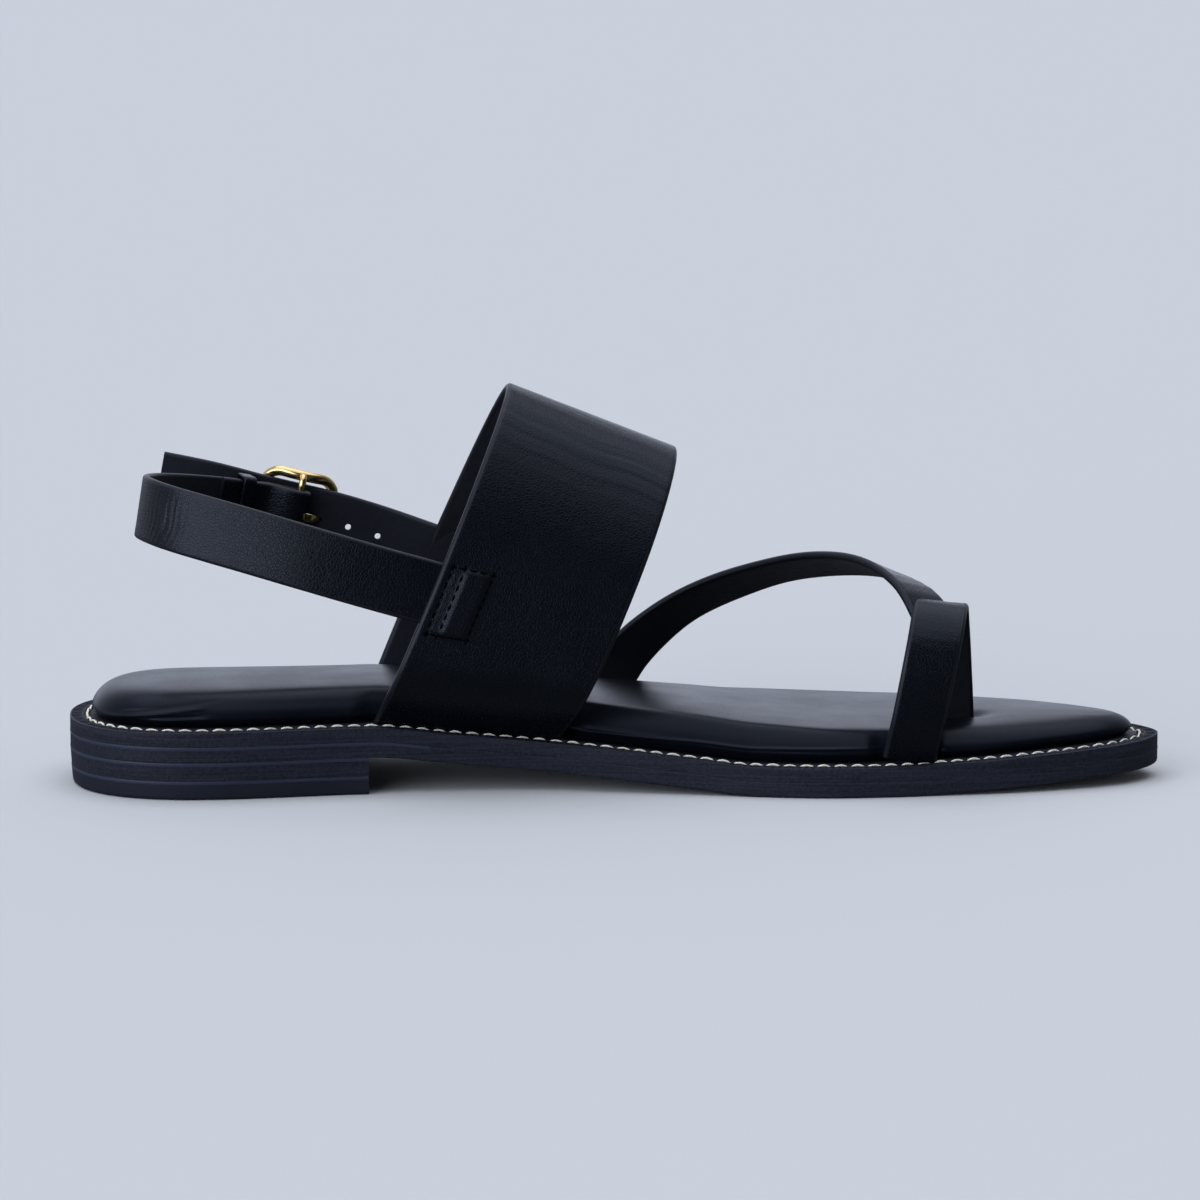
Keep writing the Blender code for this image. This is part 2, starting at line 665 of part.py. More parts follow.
def frame_depth(u):
    """Return how far out the cambered frame lies at a distance along the strap."""
    share = abs(u) / (BUCKLE_LENGTH / 2)
    return BUCKLE_CAMBER["middle"] + (BUCKLE_CAMBER["rail"] - BUCKLE_CAMBER["middle"]) * share ** 2


def build_buckle():
    """Build the cambered frame with its centre bar, and the prong hung on the bar."""
    long, tall = BUCKLE_LENGTH / 2, BUCKLE_HEIGHT / 2 - RAIL_RADIUS
    ring = []
    corners = ((1, 1, 0), (-1, 1, 90), (-1, -1, 180), (1, -1, 270))
    for side_u, side_v, start in corners:
        for k in range(CORNER_STEPS + 1):
            angle = math.radians(start + 90 * k / CORNER_STEPS)
            u = side_u * (long - BUCKLE_CORNER) + BUCKLE_CORNER * math.cos(angle)
            v = side_v * (tall - BUCKLE_CORNER) + BUCKLE_CORNER * math.sin(angle)
            ring.append((u, v))
        if side_u == side_v:
            ring += [(share * side_u * (long - BUCKLE_CORNER), v) for share in (0.5, 0.0, -0.5)]
    frame = tube("buckle_frame", [at_buckle(u, v, frame_depth(u)) for u, v in ring], RAIL_RADIUS, closed=True)
    crank = SLING_WIDTH / 2 + GAP + BAR_RADIUS - SLING_DROP
    bar = [
        (tall, BUCKLE_CAMBER["middle"]),
        (crank + BAR_CRANK["above"], BAR_CRANK["out"]),
        (crank - BAR_CRANK["below"], 0.0),
    ]
    bar += [(-v, w) for v, w in bar[::-1]]
    combine(frame, tube("centre bar", [at_buckle(0, v, w) for v, w in bar], BAR_RADIUS), "UNION")
    build_prong()


def build_prong():
    """Build the prong, from its loop on the bar through the billet to the rail."""
    loop = BAR_RADIUS + GAP + PRONG_RADIUS
    turns = [math.radians(t) for t in range(PRONG_LOOP["first"], PRONG_LOOP["last"], PRONG_LOOP["turn"])]
    path = [(loop * math.cos(t), loop * math.sin(t)) for t in turns]
    path += zip(*PRONG_PATH.values())
    rail = BUCKLE_LENGTH / 2
    rail_out = BUCKLE_CAMBER["rail"] + RAIL_RADIUS + GAP + PRONG_RADIUS
    path.append((rail - PRONG_TIP["before"], rail_out - PRONG_TIP["dip"]))
    path += [(rail, rail_out), (rail + PRONG_TIP["past"], rail_out)]
    return tube("buckle_prong", [at_buckle(u, 0, w) for u, w in path], PRONG_RADIUS)


def build_keeper():
    """Build the leather loop that holds the sling's folded end together."""
    path = smooth_path(table_rows(SLING_PATH), SPACING["keeper"])
    path = path[path[:, 1] > 0]
    low, high = leaning_edges(path, SLING_WIDTH)
    middle = int(np.argmin(abs(path[:, 0] - KEEPER["station"])))
    centre = path[middle, :3]
    along = unit(path[middle + 1, :3] - path[middle - 1, :3])
    up = unit(high[middle] - low[middle])
    inward = unit(np.cross(along, up))
    centre = centre + inward * LAYER / 2
    tall, deep = SLING_WIDTH / 2 + GAP, LAYER / 2 + SLING_THICK / 2 + GAP
    rings = []
    for end, thick in ((-0.5, 0), (0.5, 0), (0.5, KEEPER["thick"]), (-0.5, KEEPER["thick"])):
        corners = rounded_corners(tall + thick, deep + thick, GAP + thick)
        rings.append([centre + end * KEEPER["width"] * along + v * up + w * inward for v, w in corners])
    builder, _ = loft(rings, closed=False)
    return add_object("strap_keeper", builder, "black_leather")


def rounded_corners(half_tall, half_deep, radius):
    """Return a rectangle's outline with rounded corners, in order round it."""
    points = []
    for quarter, (side_v, side_w) in enumerate(((1, 1), (-1, 1), (-1, -1), (1, -1))):
        for k in range(3):
            angle = math.radians(90 * quarter + 45 * k)
            v = side_v * (half_tall - radius) + radius * math.cos(angle)
            points.append((v, side_w * (half_deep - radius) + radius * math.sin(angle)))
    return points


def main():
    """Clear the scene and build the sandal."""
    for item in list(bpy.data.objects):
        bpy.data.objects.remove(item, do_unlink=True)
    build_outsole()
    build_midsole()
    build_heel()
    cutters = [
        build_band("band clearance", GAP),
        build_toe_loop("toe loop clearance", GAP),
        build_cross_strap("cross strap clearance", GAP),
    ]
    build_footbed(cutters)
    upper = build_band("upper_instep_sling")
    combine(upper, build_sling("sling"), "UNION")
    combine(upper, build_billet("billet"), "UNION")
    toe = build_toe_loop("upper_toe_strap")
    combine(toe, build_cross_strap("cross strap"), "UNION")
    build_buckle()
    build_keeper()


main()
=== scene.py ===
"""Looks of a left slingback sandal: fine leather meshes, stitching, brass and soft studio light.

Sizes are millimetres on the last: station from the back of the heel to the toe, across from the heel's
centre line towards the outer side of the foot, and height from the floor. Meshes are in metres.
"""
import logging
import math
from collections.abc import Callable, Sequence
from dataclasses import dataclass, field
from enum import Enum
from typing import Any

import bmesh
import bpy
import numpy as np
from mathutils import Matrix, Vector

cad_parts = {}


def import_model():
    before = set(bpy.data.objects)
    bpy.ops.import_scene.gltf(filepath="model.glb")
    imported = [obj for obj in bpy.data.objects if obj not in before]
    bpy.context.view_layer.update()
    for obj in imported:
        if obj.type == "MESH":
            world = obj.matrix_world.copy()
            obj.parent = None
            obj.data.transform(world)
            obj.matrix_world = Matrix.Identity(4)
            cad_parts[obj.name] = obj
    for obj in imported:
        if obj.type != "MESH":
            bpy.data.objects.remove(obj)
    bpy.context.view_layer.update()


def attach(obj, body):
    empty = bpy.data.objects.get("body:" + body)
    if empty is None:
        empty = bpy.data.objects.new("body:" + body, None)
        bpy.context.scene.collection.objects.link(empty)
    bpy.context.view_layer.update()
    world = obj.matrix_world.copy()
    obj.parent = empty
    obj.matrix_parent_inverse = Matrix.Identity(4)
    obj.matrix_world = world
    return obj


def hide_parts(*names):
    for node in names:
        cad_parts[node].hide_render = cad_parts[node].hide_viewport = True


LOG = logging.getLogger("sandal")
MM = 0.001
BODY = "root"

# The middle of the sole's width, where the part has its origin
PLAN_MIDDLE = 3.687

# The angle in degrees past which an edge between two faces stays sharp
SHARP = 40.0

# One stitch: points along its arch, the thread's valleys between its plies, and the spread of its sizes
ARCH_POINTS = 9
PLY_VALLEY = 0.7
STITCH_LEAST = (0.94, 0.9, 0.88)
STITCH_MOST = (1.03, 1.08, 1.12)
STITCH_INPUTS = {
    "Geometry": "Geometry", "Pitch": "Float", "Length": "Float", "Rise": "Float", "Sink": "Float",
    "Thread": "Float", "Twist": "Float", "Plies": "Int", "Seed": "Int", "Material": "Material",
}

Array = np.ndarray
Tree = bpy.types.NodeTree
Node = bpy.types.Node
Socket = bpy.types.NodeSocket
Object = bpy.types.Object
Material = bpy.types.Material
Inset = float | Array
Height = Callable[[Array], Array]
Step = tuple[Inset, Height]
Relief = Callable[[Array, Array], Array]
Row = tuple[float, ...]
OpenRow = tuple[float, float, float | None]


class Side(Enum):
    """The side of the foot, with the sign of its across direction."""

    INNER = -1
    OUTER = 1


class Face(Enum):
    """The faces of a strap, in the order of its material slots."""

    GRAIN = 0
    LINING = 1
    EDGE = 2


class Cut(Enum):
    """What a cutter does to its target, by the name of the boolean operation."""

    REMOVE = "DIFFERENCE"
    UNITE = "UNION"


class Slot(Enum):
    """The record's material slots."""

    STRAP = "strap_leather"
    FOOTBED = "footbed_leather"
    SOLE = "sole_edge"
    RUBBER = "heel_rubber"
    BRASS = "brass"


def unit(vectors: Array) -> Array:
    """Scale each vector of an array to length one."""
    return vectors / np.linalg.norm(vectors, axis=-1, keepdims=True)


def distances(points: Array) -> Array:
    """Return how far along a line each of its points lies."""
    return np.concatenate(([0.0], np.cumsum(np.linalg.norm(np.diff(points, axis=0), axis=1))))


def tangents(points: Array, closed: bool = False) -> Array:
    """Return the direction of an open or a closed line at each of its points."""
    if closed:
        return unit(np.roll(points, -1, axis=0) - np.roll(points, 1, axis=0))
    return unit(np.gradient(points, axis=0))


def bell(distance: Array, width: float) -> Array:
    """Return a soft hump, one in its middle and near nothing at two widths away."""
    return np.exp(-((distance / width) ** 2))


def ease(share: Array) -> Array:
    """Return a share from zero to one that starts and ends softly."""
    return share * share * (3 - 2 * share)


def window(value: Array, low: float, high: float, fade: float) -> Array:
    """Return one between two limits and zero outside them.

    Args:
        value: The values to test.
        low: The lower limit.
        high: The upper limit.
        fade: The length of the soft change at each limit.

    Returns:
        The share for each value.
    """
    rise = np.clip((value - low) / fade + 0.5, 0, 1)
    fall = np.clip((high - value) / fade + 0.5, 0, 1)
    return ease(rise) * ease(fall)


def wander(along: Array, across: Array, waves: Sequence[Row], phase: float) -> Array:
    """Return distances along a strap that wander as they cross it, so that folds aren't ruled lines.

    Args:
        along: Distances along the strap.
        across: Distances from its first edge.
        waves: For each wave its reach, its length and its share of the phase.
        phase: What sets one group of folds apart from another.

    Returns:
        The distances with their waves.
    """
    for reach, length, share in waves:
        along = along + reach * np.sin(across / length + share * phase)
    return along


def world(points: Array) -> Array:
    """Turn points of the last into metres from the part's origin."""
    return (np.asarray(points, float) - (LAST.length / 2, PLAN_MIDDLE, 0.0)) * MM


def smooth_path(rows: Sequence[Sequence[float]], spacing: float) -> Array:
    """Pass one smooth curve through rows and read it at equal steps.

    Args:
        rows: Rows whose first three columns are a place, with any further columns.
        spacing: The step along the curve.

    Returns:
        The rows at each step.
    """
    rows = np.asarray(rows, float)
    steps = np.linalg.norm(np.diff(rows[:, :3], axis=0), axis=1)
    knots = np.concatenate(([0.0], np.cumsum(steps)))
    system = np.eye(len(knots))
    pull = np.zeros_like(rows)
    for row in range(1, len(knots) - 1):
        before, after = steps[row - 1], steps[row]
        system[row, row - 1:row + 2] = before, 2 * (before + after), after
        pull[row] = 6 * ((rows[row + 1] - rows[row]) / after - (rows[row] - rows[row - 1]) / before)
    bend = np.linalg.solve(system, pull)
    at = np.linspace(0, knots[-1], int(round(knots[-1] / spacing)) + 1)
    row = np.clip(np.searchsorted(knots, at, side="right") - 1, 0, len(steps) - 1)
    step = steps[row][:, None]
    b = (at - knots[row])[:, None] / step
    a = 1 - b
    curve = ((a ** 3 - a) * bend[row] + (b ** 3 - b) * bend[row + 1]) * step * step / 6
    return a * rows[row] + b * rows[row + 1] + curve


def resample(points: Array, count: int) -> Array:
    """Return equally spaced points round a closed loop.

    Args:
        points: The loop's points.
        count: How many points to return.

    Returns:
        The new points.
    """
    closed = np.vstack((points, points[:1]))
    arc = distances(closed)
    at = np.linspace(0, arc[-1], count, endpoint=False)
    return np.column_stack([np.interp(at, arc, column) for column in closed.T])


def rounded_rectangle(wide: float, tall: float, corner: float, steps: int) -> Array:
    """Draw the round corners of a rectangle, one after another.

    Args:
        wide: Half its width.
        tall: Half its height.
        corner: The radius of its corners.
        steps: How many points each corner has.

    Returns:
        The points, in two columns.
    """
    runs = []
    for quarter, (side_u, side_v) in enumerate(((1, 1), (-1, 1), (-1, -1), (1, -1))):
        turns = np.radians(90 * quarter + np.linspace(0, 90, steps))
        u = side_u * (wide - corner) + corner * np.cos(turns)
        v = side_v * (tall - corner) + corner * np.sin(turns)
        runs.append(np.column_stack((u, v)))
    return np.vstack(runs)


def linear(colour: str) -> tuple[float, float, float, float]:
    """Turn an sRGB hex colour into linear values with full alpha."""
    parts = [int(colour[k:k + 2], 16) / 255 for k in (1, 3, 5)]
    return (*[p / 12.92 if p <= 0.04045 else ((p + 0.055) / 1.055) ** 2.4 for p in parts], 1.0)


def add_node(tree: Tree, kind: str, inputs: dict[Any, Any] | None = None, **settings: Any) -> Node:
    """Add a node with its settings, and set or link its inputs.

    Args:
        tree: The node tree.
        kind: The node's type name.
        inputs: Values, or sockets to link, by the input's name or number.
        settings: Properties of the node.

    Returns:
        The new node.
    """
    node = tree.nodes.new(kind)
    for name, value in settings.items():
        setattr(node, name, value)
    for key, value in (inputs or {}).items():
        if isinstance(value, Socket):
            tree.links.new(value, node.inputs[key])
        else:
            node.inputs[key].default_value = value
    return node


@dataclass(frozen=True)
class Profile:
    """A size along the last, read between its rows without overshoot."""

    stations: Row
    values: Row

    def at(self, station: Array | float) -> Array:
        """Return the size at one or more stations.

        Args:
            station: The stations.

        Returns:
            The size at each.
        """
        at, values = np.asarray(self.stations, float), np.asarray(self.values, float)
        rates = np.diff(values) / np.diff(at)
        slopes = np.concatenate((rates[:1], np.zeros(len(at) - 2), rates[-1:]))
        before, after = rates[:-1], rates[1:]
        same = before * after > 0
        slopes[1:-1][same] = 2 * (before * after)[same] / (before + after)[same]
        station = np.clip(np.asarray(station, float), at[0], at[-1])
        row = np.clip(np.searchsorted(at, station, side="right") - 1, 0, len(at) - 2)
        step = at[row + 1] - at[row]
        t = (station - at[row]) / step
        lead = t * (1 - t) ** 2 * slopes[row] - t * t * (1 - t) * slopes[row + 1]
        return values[row] + ease(t) * (values[row + 1] - values[row]) + step * lead


@dataclass(frozen=True)
class RoundEnd:
    """The rounded heel or toe of the sole's outline."""

    length: float
    power: float

    def share(self, distance: Array) -> Array:
        """Return the share of the full width at a distance from the end."""
        back = np.maximum(0.0, 1 - distance / self.length)
        return np.maximum(0.0, 1 - back ** self.power) ** (1 / self.power)


@dataclass(frozen=True)
class Last:
    """The shape that the sandal is built on: the sole's outline and its profile."""

    length: float = 258.0
    centre: Profile = Profile(
        (0, 32, 70, 105, 140, 178, 200, 220, 235, 248, 258),
        (0, 0, 2.3, 4.2, 4.6, 3.7, 2.2, -1.4, -4.8, -9, -12),
    )
    half_width: Profile = Profile((0, 32, 70, 105, 140, 178, 258), (31, 31, 28.8, 29, 35.5, 42.3, 42.3))
    bottom: Profile = Profile(
        (0, 70, 90, 112, 130, 148, 160, 190, 209, 229, 258),
        (8.8, 8.8, 6.8, 4.6, 2.9, 1.1, 0, 0, 0.7, 1.8, 3.4),
    )
    heel: RoundEnd = RoundEnd(32.0, 2.25)
    toe: RoundEnd = RoundEnd(80.0, 1.75)
    outsole: float = 3.7
    welt: float = 7.1

    def edge(self, station: Array | float, side: Side) -> Array:
        """Return the across position of the sole's edge.

        Args:
            station: The stations.
            side: The side of the foot.

        Returns:
            The position at each station.
        """
        station = np.asarray(station, float)
        ends = self.heel.share(station) * self.toe.share(self.length - station)
        return self.centre.at(station) + side.value * self.half_width.at(station) * ends

    def welt_top(self, station: Array | float) -> Array:
        """Return the height of the welt's upper face."""
        return self.bottom.at(station) + self.welt

    def stations(self, count: int, end: float | None = None) -> Array:
        """Return stations from the heel to an end, closer together at rounded ends.

        Args:
            count: How many stations.
            end: The last station, or the toe if it isn't given.

        Returns:
            The stations.
        """
        if end is None:
            return self.length * (1 - np.cos(np.linspace(0, math.pi, count))) / 2
        return end * (1 - np.cos(np.linspace(0, math.pi / 2, count)))


LAST = Last()


@dataclass
class Outline:
    """The sole's outline as a closed loop of points with their inward directions."""

    points: Array
    inward: Array
    breast: float | None = None

    @staticmethod
    def sides(station: Array) -> tuple[Array, Array]:
        """Return the points of the inner and the outer edge."""
        inner, outer = (LAST.edge(station, side) for side in (Side.INNER, Side.OUTER))
        return np.column_stack((station, inner)), np.column_stack((station, outer))

    @classmethod
    def whole(cls, count: int) -> "Outline":
        """Return the whole outline, from the heel along the inner side and back along the outer.

        Args:
            count: How many points it has.

        Returns:
            The outline.
        """
        inner, outer = cls.sides(LAST.stations(count))
        points = resample(np.vstack((inner, outer[-2:0:-1])), count)
        along = tangents(points, closed=True)
        return cls(points, np.column_stack((-along[:, 1], along[:, 0])))

    @classmethod
    def heel(cls, count: int, breast: float) -> "Outline":
        """Return the heel's outline, open at its straight breast.

        Args:
            count: How many stations it has on each side.
            breast: The station of the breast.

        Returns:
            The outline.
        """
        inner, outer = cls.sides(LAST.stations(count, breast))
        points = np.vstack((outer[::-1], inner[1:]))
        along = tangents(points)
        inward = np.column_stack((-along[:, 1], along[:, 0]))
        inward[0], inward[-1] = (0, -1), (0, 1)
        return cls(points, inward, breast)

    def ring(self, inset: Inset, height: Height) -> Array:
        """Return the loop moved inwards, each point at the height of its station."""
        moved = self.points + np.asarray(inset)[..., None] * self.inward
        return np.column_stack((moved, height(moved[:, 0])))


@dataclass
class MeshBuilder:
    """Collects the rings of one piece and turns them into an object."""

    name: str
    vertices: list[Array] = field(default_factory=list)
    faces: list[tuple[int, ...]] = field(default_factory=list)
    slots: list[int] = field(default_factory=list)
    count: int = 0

    def add(self, points: Array) -> Array:
        """Add points of the last.

        Args:
            points: The points.

        Returns:
            Their vertex numbers.
        """
        numbers = np.arange(self.count, self.count + len(points))
        self.vertices.append(world(points))
        self.count += len(points)
        return numbers

    def quads(self, low: Array, high: Array, closed: bool = True, slot: int = 0) -> None:
        """Join two equal runs of vertices with a strip of faces.

        Args:
            low: The vertex numbers of one run.
            high: Those of the other.
            closed: Whether the strip goes on from the last vertex to the first.
            slot: The material slot.
        """
        ends = len(low) if closed else len(low) - 1
        after = np.roll(low, -1), np.roll(high, -1)
        for k in range(ends):
            self.face((low[k], after[0][k], after[1][k], high[k]), slot)

    def face(self, loop: Sequence[int], slot: int = 0) -> None:
        """Add one face."""
        self.faces.append(tuple(int(k) for k in loop))
        self.slots.append(slot)

    def across(self, loop: Array, slot: int = 0) -> None:
        """Close a loop that is folded at its first point with strips from side to side.

        Args:
            loop: The loop's vertex numbers.
            slot: The material slot.
        """
        count = len(loop)
        for k in range(count // 2):
            left = loop[k], loop[k + 1]
            right = loop[-k % count], loop[count - k - 1]
            corners = list(dict.fromkeys((int(left[0]), int(left[1]), int(right[1]), int(right[0]))))
            if len(corners) > 2:
                self.face(corners, slot)

    def skin(
        self, rings: Sequence[Array], closed: bool = False, tags: Sequence[int] = (), cap: int = 0,
    ) -> None:
        """Join rings one after another, and close the two ends unless the rings go round.

        Args:
            rings: The vertex numbers of each ring.
            closed: Whether the last ring joins the first.
            tags: The material slot after each point of a ring, where they differ.
            cap: The material slot of the ends.
        """
        for low, high in zip(rings, [*rings[1:], rings[0]] if closed else rings[1:]):
            start = len(self.slots)
            self.quads(low, high)
            if tags:
                self.slots[start:] = tags
        if not closed:
            self.face(rings[0], cap)
            self.face(rings[-1], cap)

    def finish(self, materials: Sequence[Material], sharp: float = SHARP) -> Object:
        """Make the object, with smooth faces that point outwards.

        Args:
            materials: The materials in the order of the slots.
            sharp: The angle in degrees past which an edge stays sharp.

        Returns:
            The new object, at the origin.
        """
        mesh = bpy.data.meshes.new(self.name)
        mesh.from_pydata(np.vstack(self.vertices).tolist(), [], self.faces)
        mesh.polygons.foreach_set("material_index", self.slots)
        for material in materials:
            mesh.materials.append(material)
        shaper = bmesh.new()
        shaper.from_mesh(mesh)
        bmesh.ops.recalc_face_normals(shaper, faces=shaper.faces)
        shaper.to_mesh(mesh)
        shaper.free()
        mesh.shade_smooth()
        mesh.set_sharp_from_angle(angle=math.radians(sharp))
        return stand(self.name, mesh)


def stand(name: str, data: bpy.types.ID) -> Object:
    """Put a mesh, a lamp or a camera into the scene as an object at the origin.

    Args:
        name: The object's name.
        data: What it holds.

    Returns:
        The object.
    """
    made = bpy.data.objects.new(name, data)
    bpy.context.scene.collection.objects.link(made)
    return made


def cut(target: Object, cutters: Sequence[Object], kind: Cut = Cut.REMOVE) -> None:
    """Cut an object with others, or unite them with it, and remove the others.

    Args:
        target: The object that changes.
        cutters: The other objects.
        kind: What the cutters do.
    """
    for cutter in cutters:
        modifier = target.modifiers.new(kind.name.lower(), "BOOLEAN")
        modifier.operation = kind.value
        modifier.solver = "EXACT"
        modifier.object = cutter
    flatten(target)
    for cutter in cutters:
        bpy.data.objects.remove(cutter, do_unlink=True)


def flatten(target: Object) -> None:
    """Turn what an object's modifiers give into its plain mesh.

    Args:
        target: The object.
    """
    scene = bpy.context.evaluated_depsgraph_get()
    plain = bpy.data.meshes.new_from_object(target.evaluated_get(scene))
    target.modifiers.clear()
    target.data = plain


def join(name: str, objects: Sequence[Object], material: Material) -> Object:
    """Make one object that holds the meshes of several, which are removed.

    Args:
        name: The new object's name.
        objects: The objects to join.
        material: The one material of all their faces.

    Returns:
        The new object.
    """
    shaper = bmesh.new()
    for item in objects:
        shaper.from_mesh(item.data)
    for surface in shaper.faces:
        surface.material_index = 0
    mesh = bpy.data.meshes.new(name)
    shaper.to_mesh(mesh)
    shaper.free()
    mesh.materials.append(material)
    mesh.shade_smooth()
    for item in objects:
        bpy.data.objects.remove(item, do_unlink=True)
    return stand(name, mesh)


def dress(piece: Object, slot: Slot, *nodes: str) -> None:
    """Let a piece ride on the part and stand for its nodes, which it hides.

    Args:
        piece: The finished piece.
        slot: Its record slot, which is not used.
        nodes: The solids that it replaces.
    """
    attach(piece, BODY)
    if nodes:
        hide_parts(*nodes)
    LOG.info("%s: %d faces", piece.name, len(piece.data.polygons))


@dataclass(frozen=True)
class Finish:
    """A finish that every kind of surface here shares: colour, gloss and a named material."""

    name: str
    colour: str
    shade: str
    roughness: float
    specular: float
    gloss_drift: float = 0.05
    patch: float = 6.0

    def start(self) -> tuple[Tree, Node, Socket]:
        """Make the material.

        Returns:
            Its tree, its shader and the object coordinates.
        """
        made = bpy.data.materials.new(self.name)
        made.use_nodes = True
        tree = made.node_tree
        shader = tree.nodes["Principled BSDF"]
        shader.inputs["Specular IOR Level"].default_value = self.specular
        shader.inputs["Roughness"].default_value = self.roughness
        return tree, shader, add_node(tree, "ShaderNodeTexCoord").outputs["Object"]

    def tone(self, tree: Tree, shader: Node, amount: Socket) -> None:
        """Mix the colour and an amount of its shade, and link them to the shader."""
        mix = add_node(
            tree, "ShaderNodeMix", {"Factor": amount, "A": linear(self.colour), "B": linear(self.shade)},
            data_type="RGBA",
        )
        tree.links.new(mix.outputs["Result"], shader.inputs["Base Color"])

    def blotch(self, tree: Tree, shader: Node, place: Socket) -> Socket:
        """Let the colour and the gloss drift softly over patches.

        Args:
            tree: The material's tree.
            shader: Its shader.
            place: The object coordinates.

        Returns:
            The roughness, which is linked to the shader too.
        """
        noise = add_node(
            tree, "ShaderNodeTexNoise", {"Vector": place, "Scale": 1 / (self.patch * MM), "Detail": 4.0},
        ).outputs["Fac"]
        self.tone(tree, shader, noise)
        least, most = self.roughness - self.gloss_drift, self.roughness + self.gloss_drift
        gloss = add_node(
            tree, "ShaderNodeMapRange",
            {"Value": noise, "From Min": 0.3, "From Max": 0.7, "To Min": least, "To Max": most},
        ).outputs["Result"]
        tree.links.new(gloss, shader.inputs["Roughness"])
        return gloss

    @staticmethod
    def bump(tree: Tree, shader: Node, heights: Sequence[tuple[Socket, float]]) -> None:
        """Raise the surface by textures.

        Args:
            tree: The material's tree.
            shader: Its shader.
            heights: Each texture with its height in millimetres.
        """
        below = None
        for height, depth in heights:
            links: dict[str, Any] = {"Height": height, "Distance": depth * MM, "Strength": 1.0}
            if below is not None:
                links["Normal"] = below
            below = add_node(tree, "ShaderNodeBump", links).outputs["Normal"]
        tree.links.new(below, shader.inputs["Normal"])


@dataclass(frozen=True)
class SmoothLeather(Finish):
    """Aniline-dyed calf: a fine pebble of pores under a thin wax, so it shines most at low angles.

    The grain of real calf is some 0.3 mm wide. Pebble and pores are drawn about twice as coarse, so that
    they show in the render.
    """

    patch: float = 14.0
    grain: float = 0.8
    valley: float = 0.22
    dull: float = 0.04
    depth: float = 0.02
    pore: float = 0.35
    pore_share: float = 0.3
    wave: float = 0.07
    wave_length: float = 6.0
    warp: float = 0.6
    warp_length: float = 2.4
    tint: str = "#ecf5ff"

    def material(self) -> Material:
        """Make the leather, whose valleys are duller than its pebbles.

        Returns:
            The material.
        """
        tree, shader, place = self.start()
        gloss = self.blotch(tree, shader, place)
        shader.inputs["Specular Tint"].default_value = linear(self.tint)
        sizes = (self.warp_length, 2.0), (self.pore, 3.0), (self.wave_length, 2.0)
        warp, pores, waves = (
            add_node(
                tree, "ShaderNodeTexNoise", {"Vector": place, "Scale": 1 / (size * MM), "Detail": detail},
            )
            for size, detail in sizes
        )
        bent = add_node(
            tree, "ShaderNodeVectorMath", {0: warp.outputs["Color"], 1: (self.warp * MM,) * 3},
            operation="MULTIPLY",
        ).outputs[0]
        moved = add_node(tree, "ShaderNodeVectorMath", {0: place, 1: bent}, operation="ADD").outputs[0]
        cells = add_node(
            tree, "ShaderNodeTexVoronoi", {"Vector": moved, "Scale": 1 / (self.grain * MM)},
            feature="DISTANCE_TO_EDGE",
        ).outputs["Distance"]
        pebble = add_node(
            tree, "ShaderNodeMapRange", {"Value": cells, "From Max": self.valley},
            interpolation_type="SMOOTHSTEP",
        ).outputs["Result"]
        rough = add_node(
            tree, "ShaderNodeMapRange", {"Value": pebble, "To Min": self.dull, "To Max": 0.0},
        ).outputs["Result"]
        dulled = add_node(tree, "ShaderNodeMath", {0: gloss, 1: rough}, operation="ADD").outputs[0]
        tree.links.new(dulled, shader.inputs["Roughness"])
        self.bump(tree, shader, (
            (waves.outputs["Fac"], self.wave), (pebble, self.depth),
            (pores.outputs["Fac"], self.pore_share * self.depth),
        ))
        return bpy.data.materials[self.name]


@dataclass(frozen=True)
class NappedLining(Finish):
    """The flesh side of split leather: a short dull nap with loose fibres, so it scatters light evenly.

    Real fibres are a tenth of these. They are drawn as tufts, so that the nap shows in the render.
    """

    patch: float = 5.0
    sheen: float = 0.03
    sheen_roughness: float = 0.6
    clump: float = 1.8
    clump_depth: float = 0.2
    fibre: float = 0.55
    fibre_depth: float = 0.12

    def material(self) -> Material:
        """Make the lining.

        Returns:
            The material.
        """
        tree, shader, place = self.start()
        self.blotch(tree, shader, place)
        shader.inputs["Sheen Weight"].default_value = self.sheen
        shader.inputs["Sheen Roughness"].default_value = self.sheen_roughness
        tufts = (self.clump, 3.0, self.clump_depth), (self.fibre, 5.0, self.fibre_depth)
        heights = []
        for size, detail, depth in tufts:
            inputs = {"Vector": place, "Scale": 1 / (size * MM), "Detail": detail}
            heights.append((add_node(tree, "ShaderNodeTexNoise", inputs).outputs["Fac"], depth))
        self.bump(tree, shader, heights)
        return bpy.data.materials[self.name]


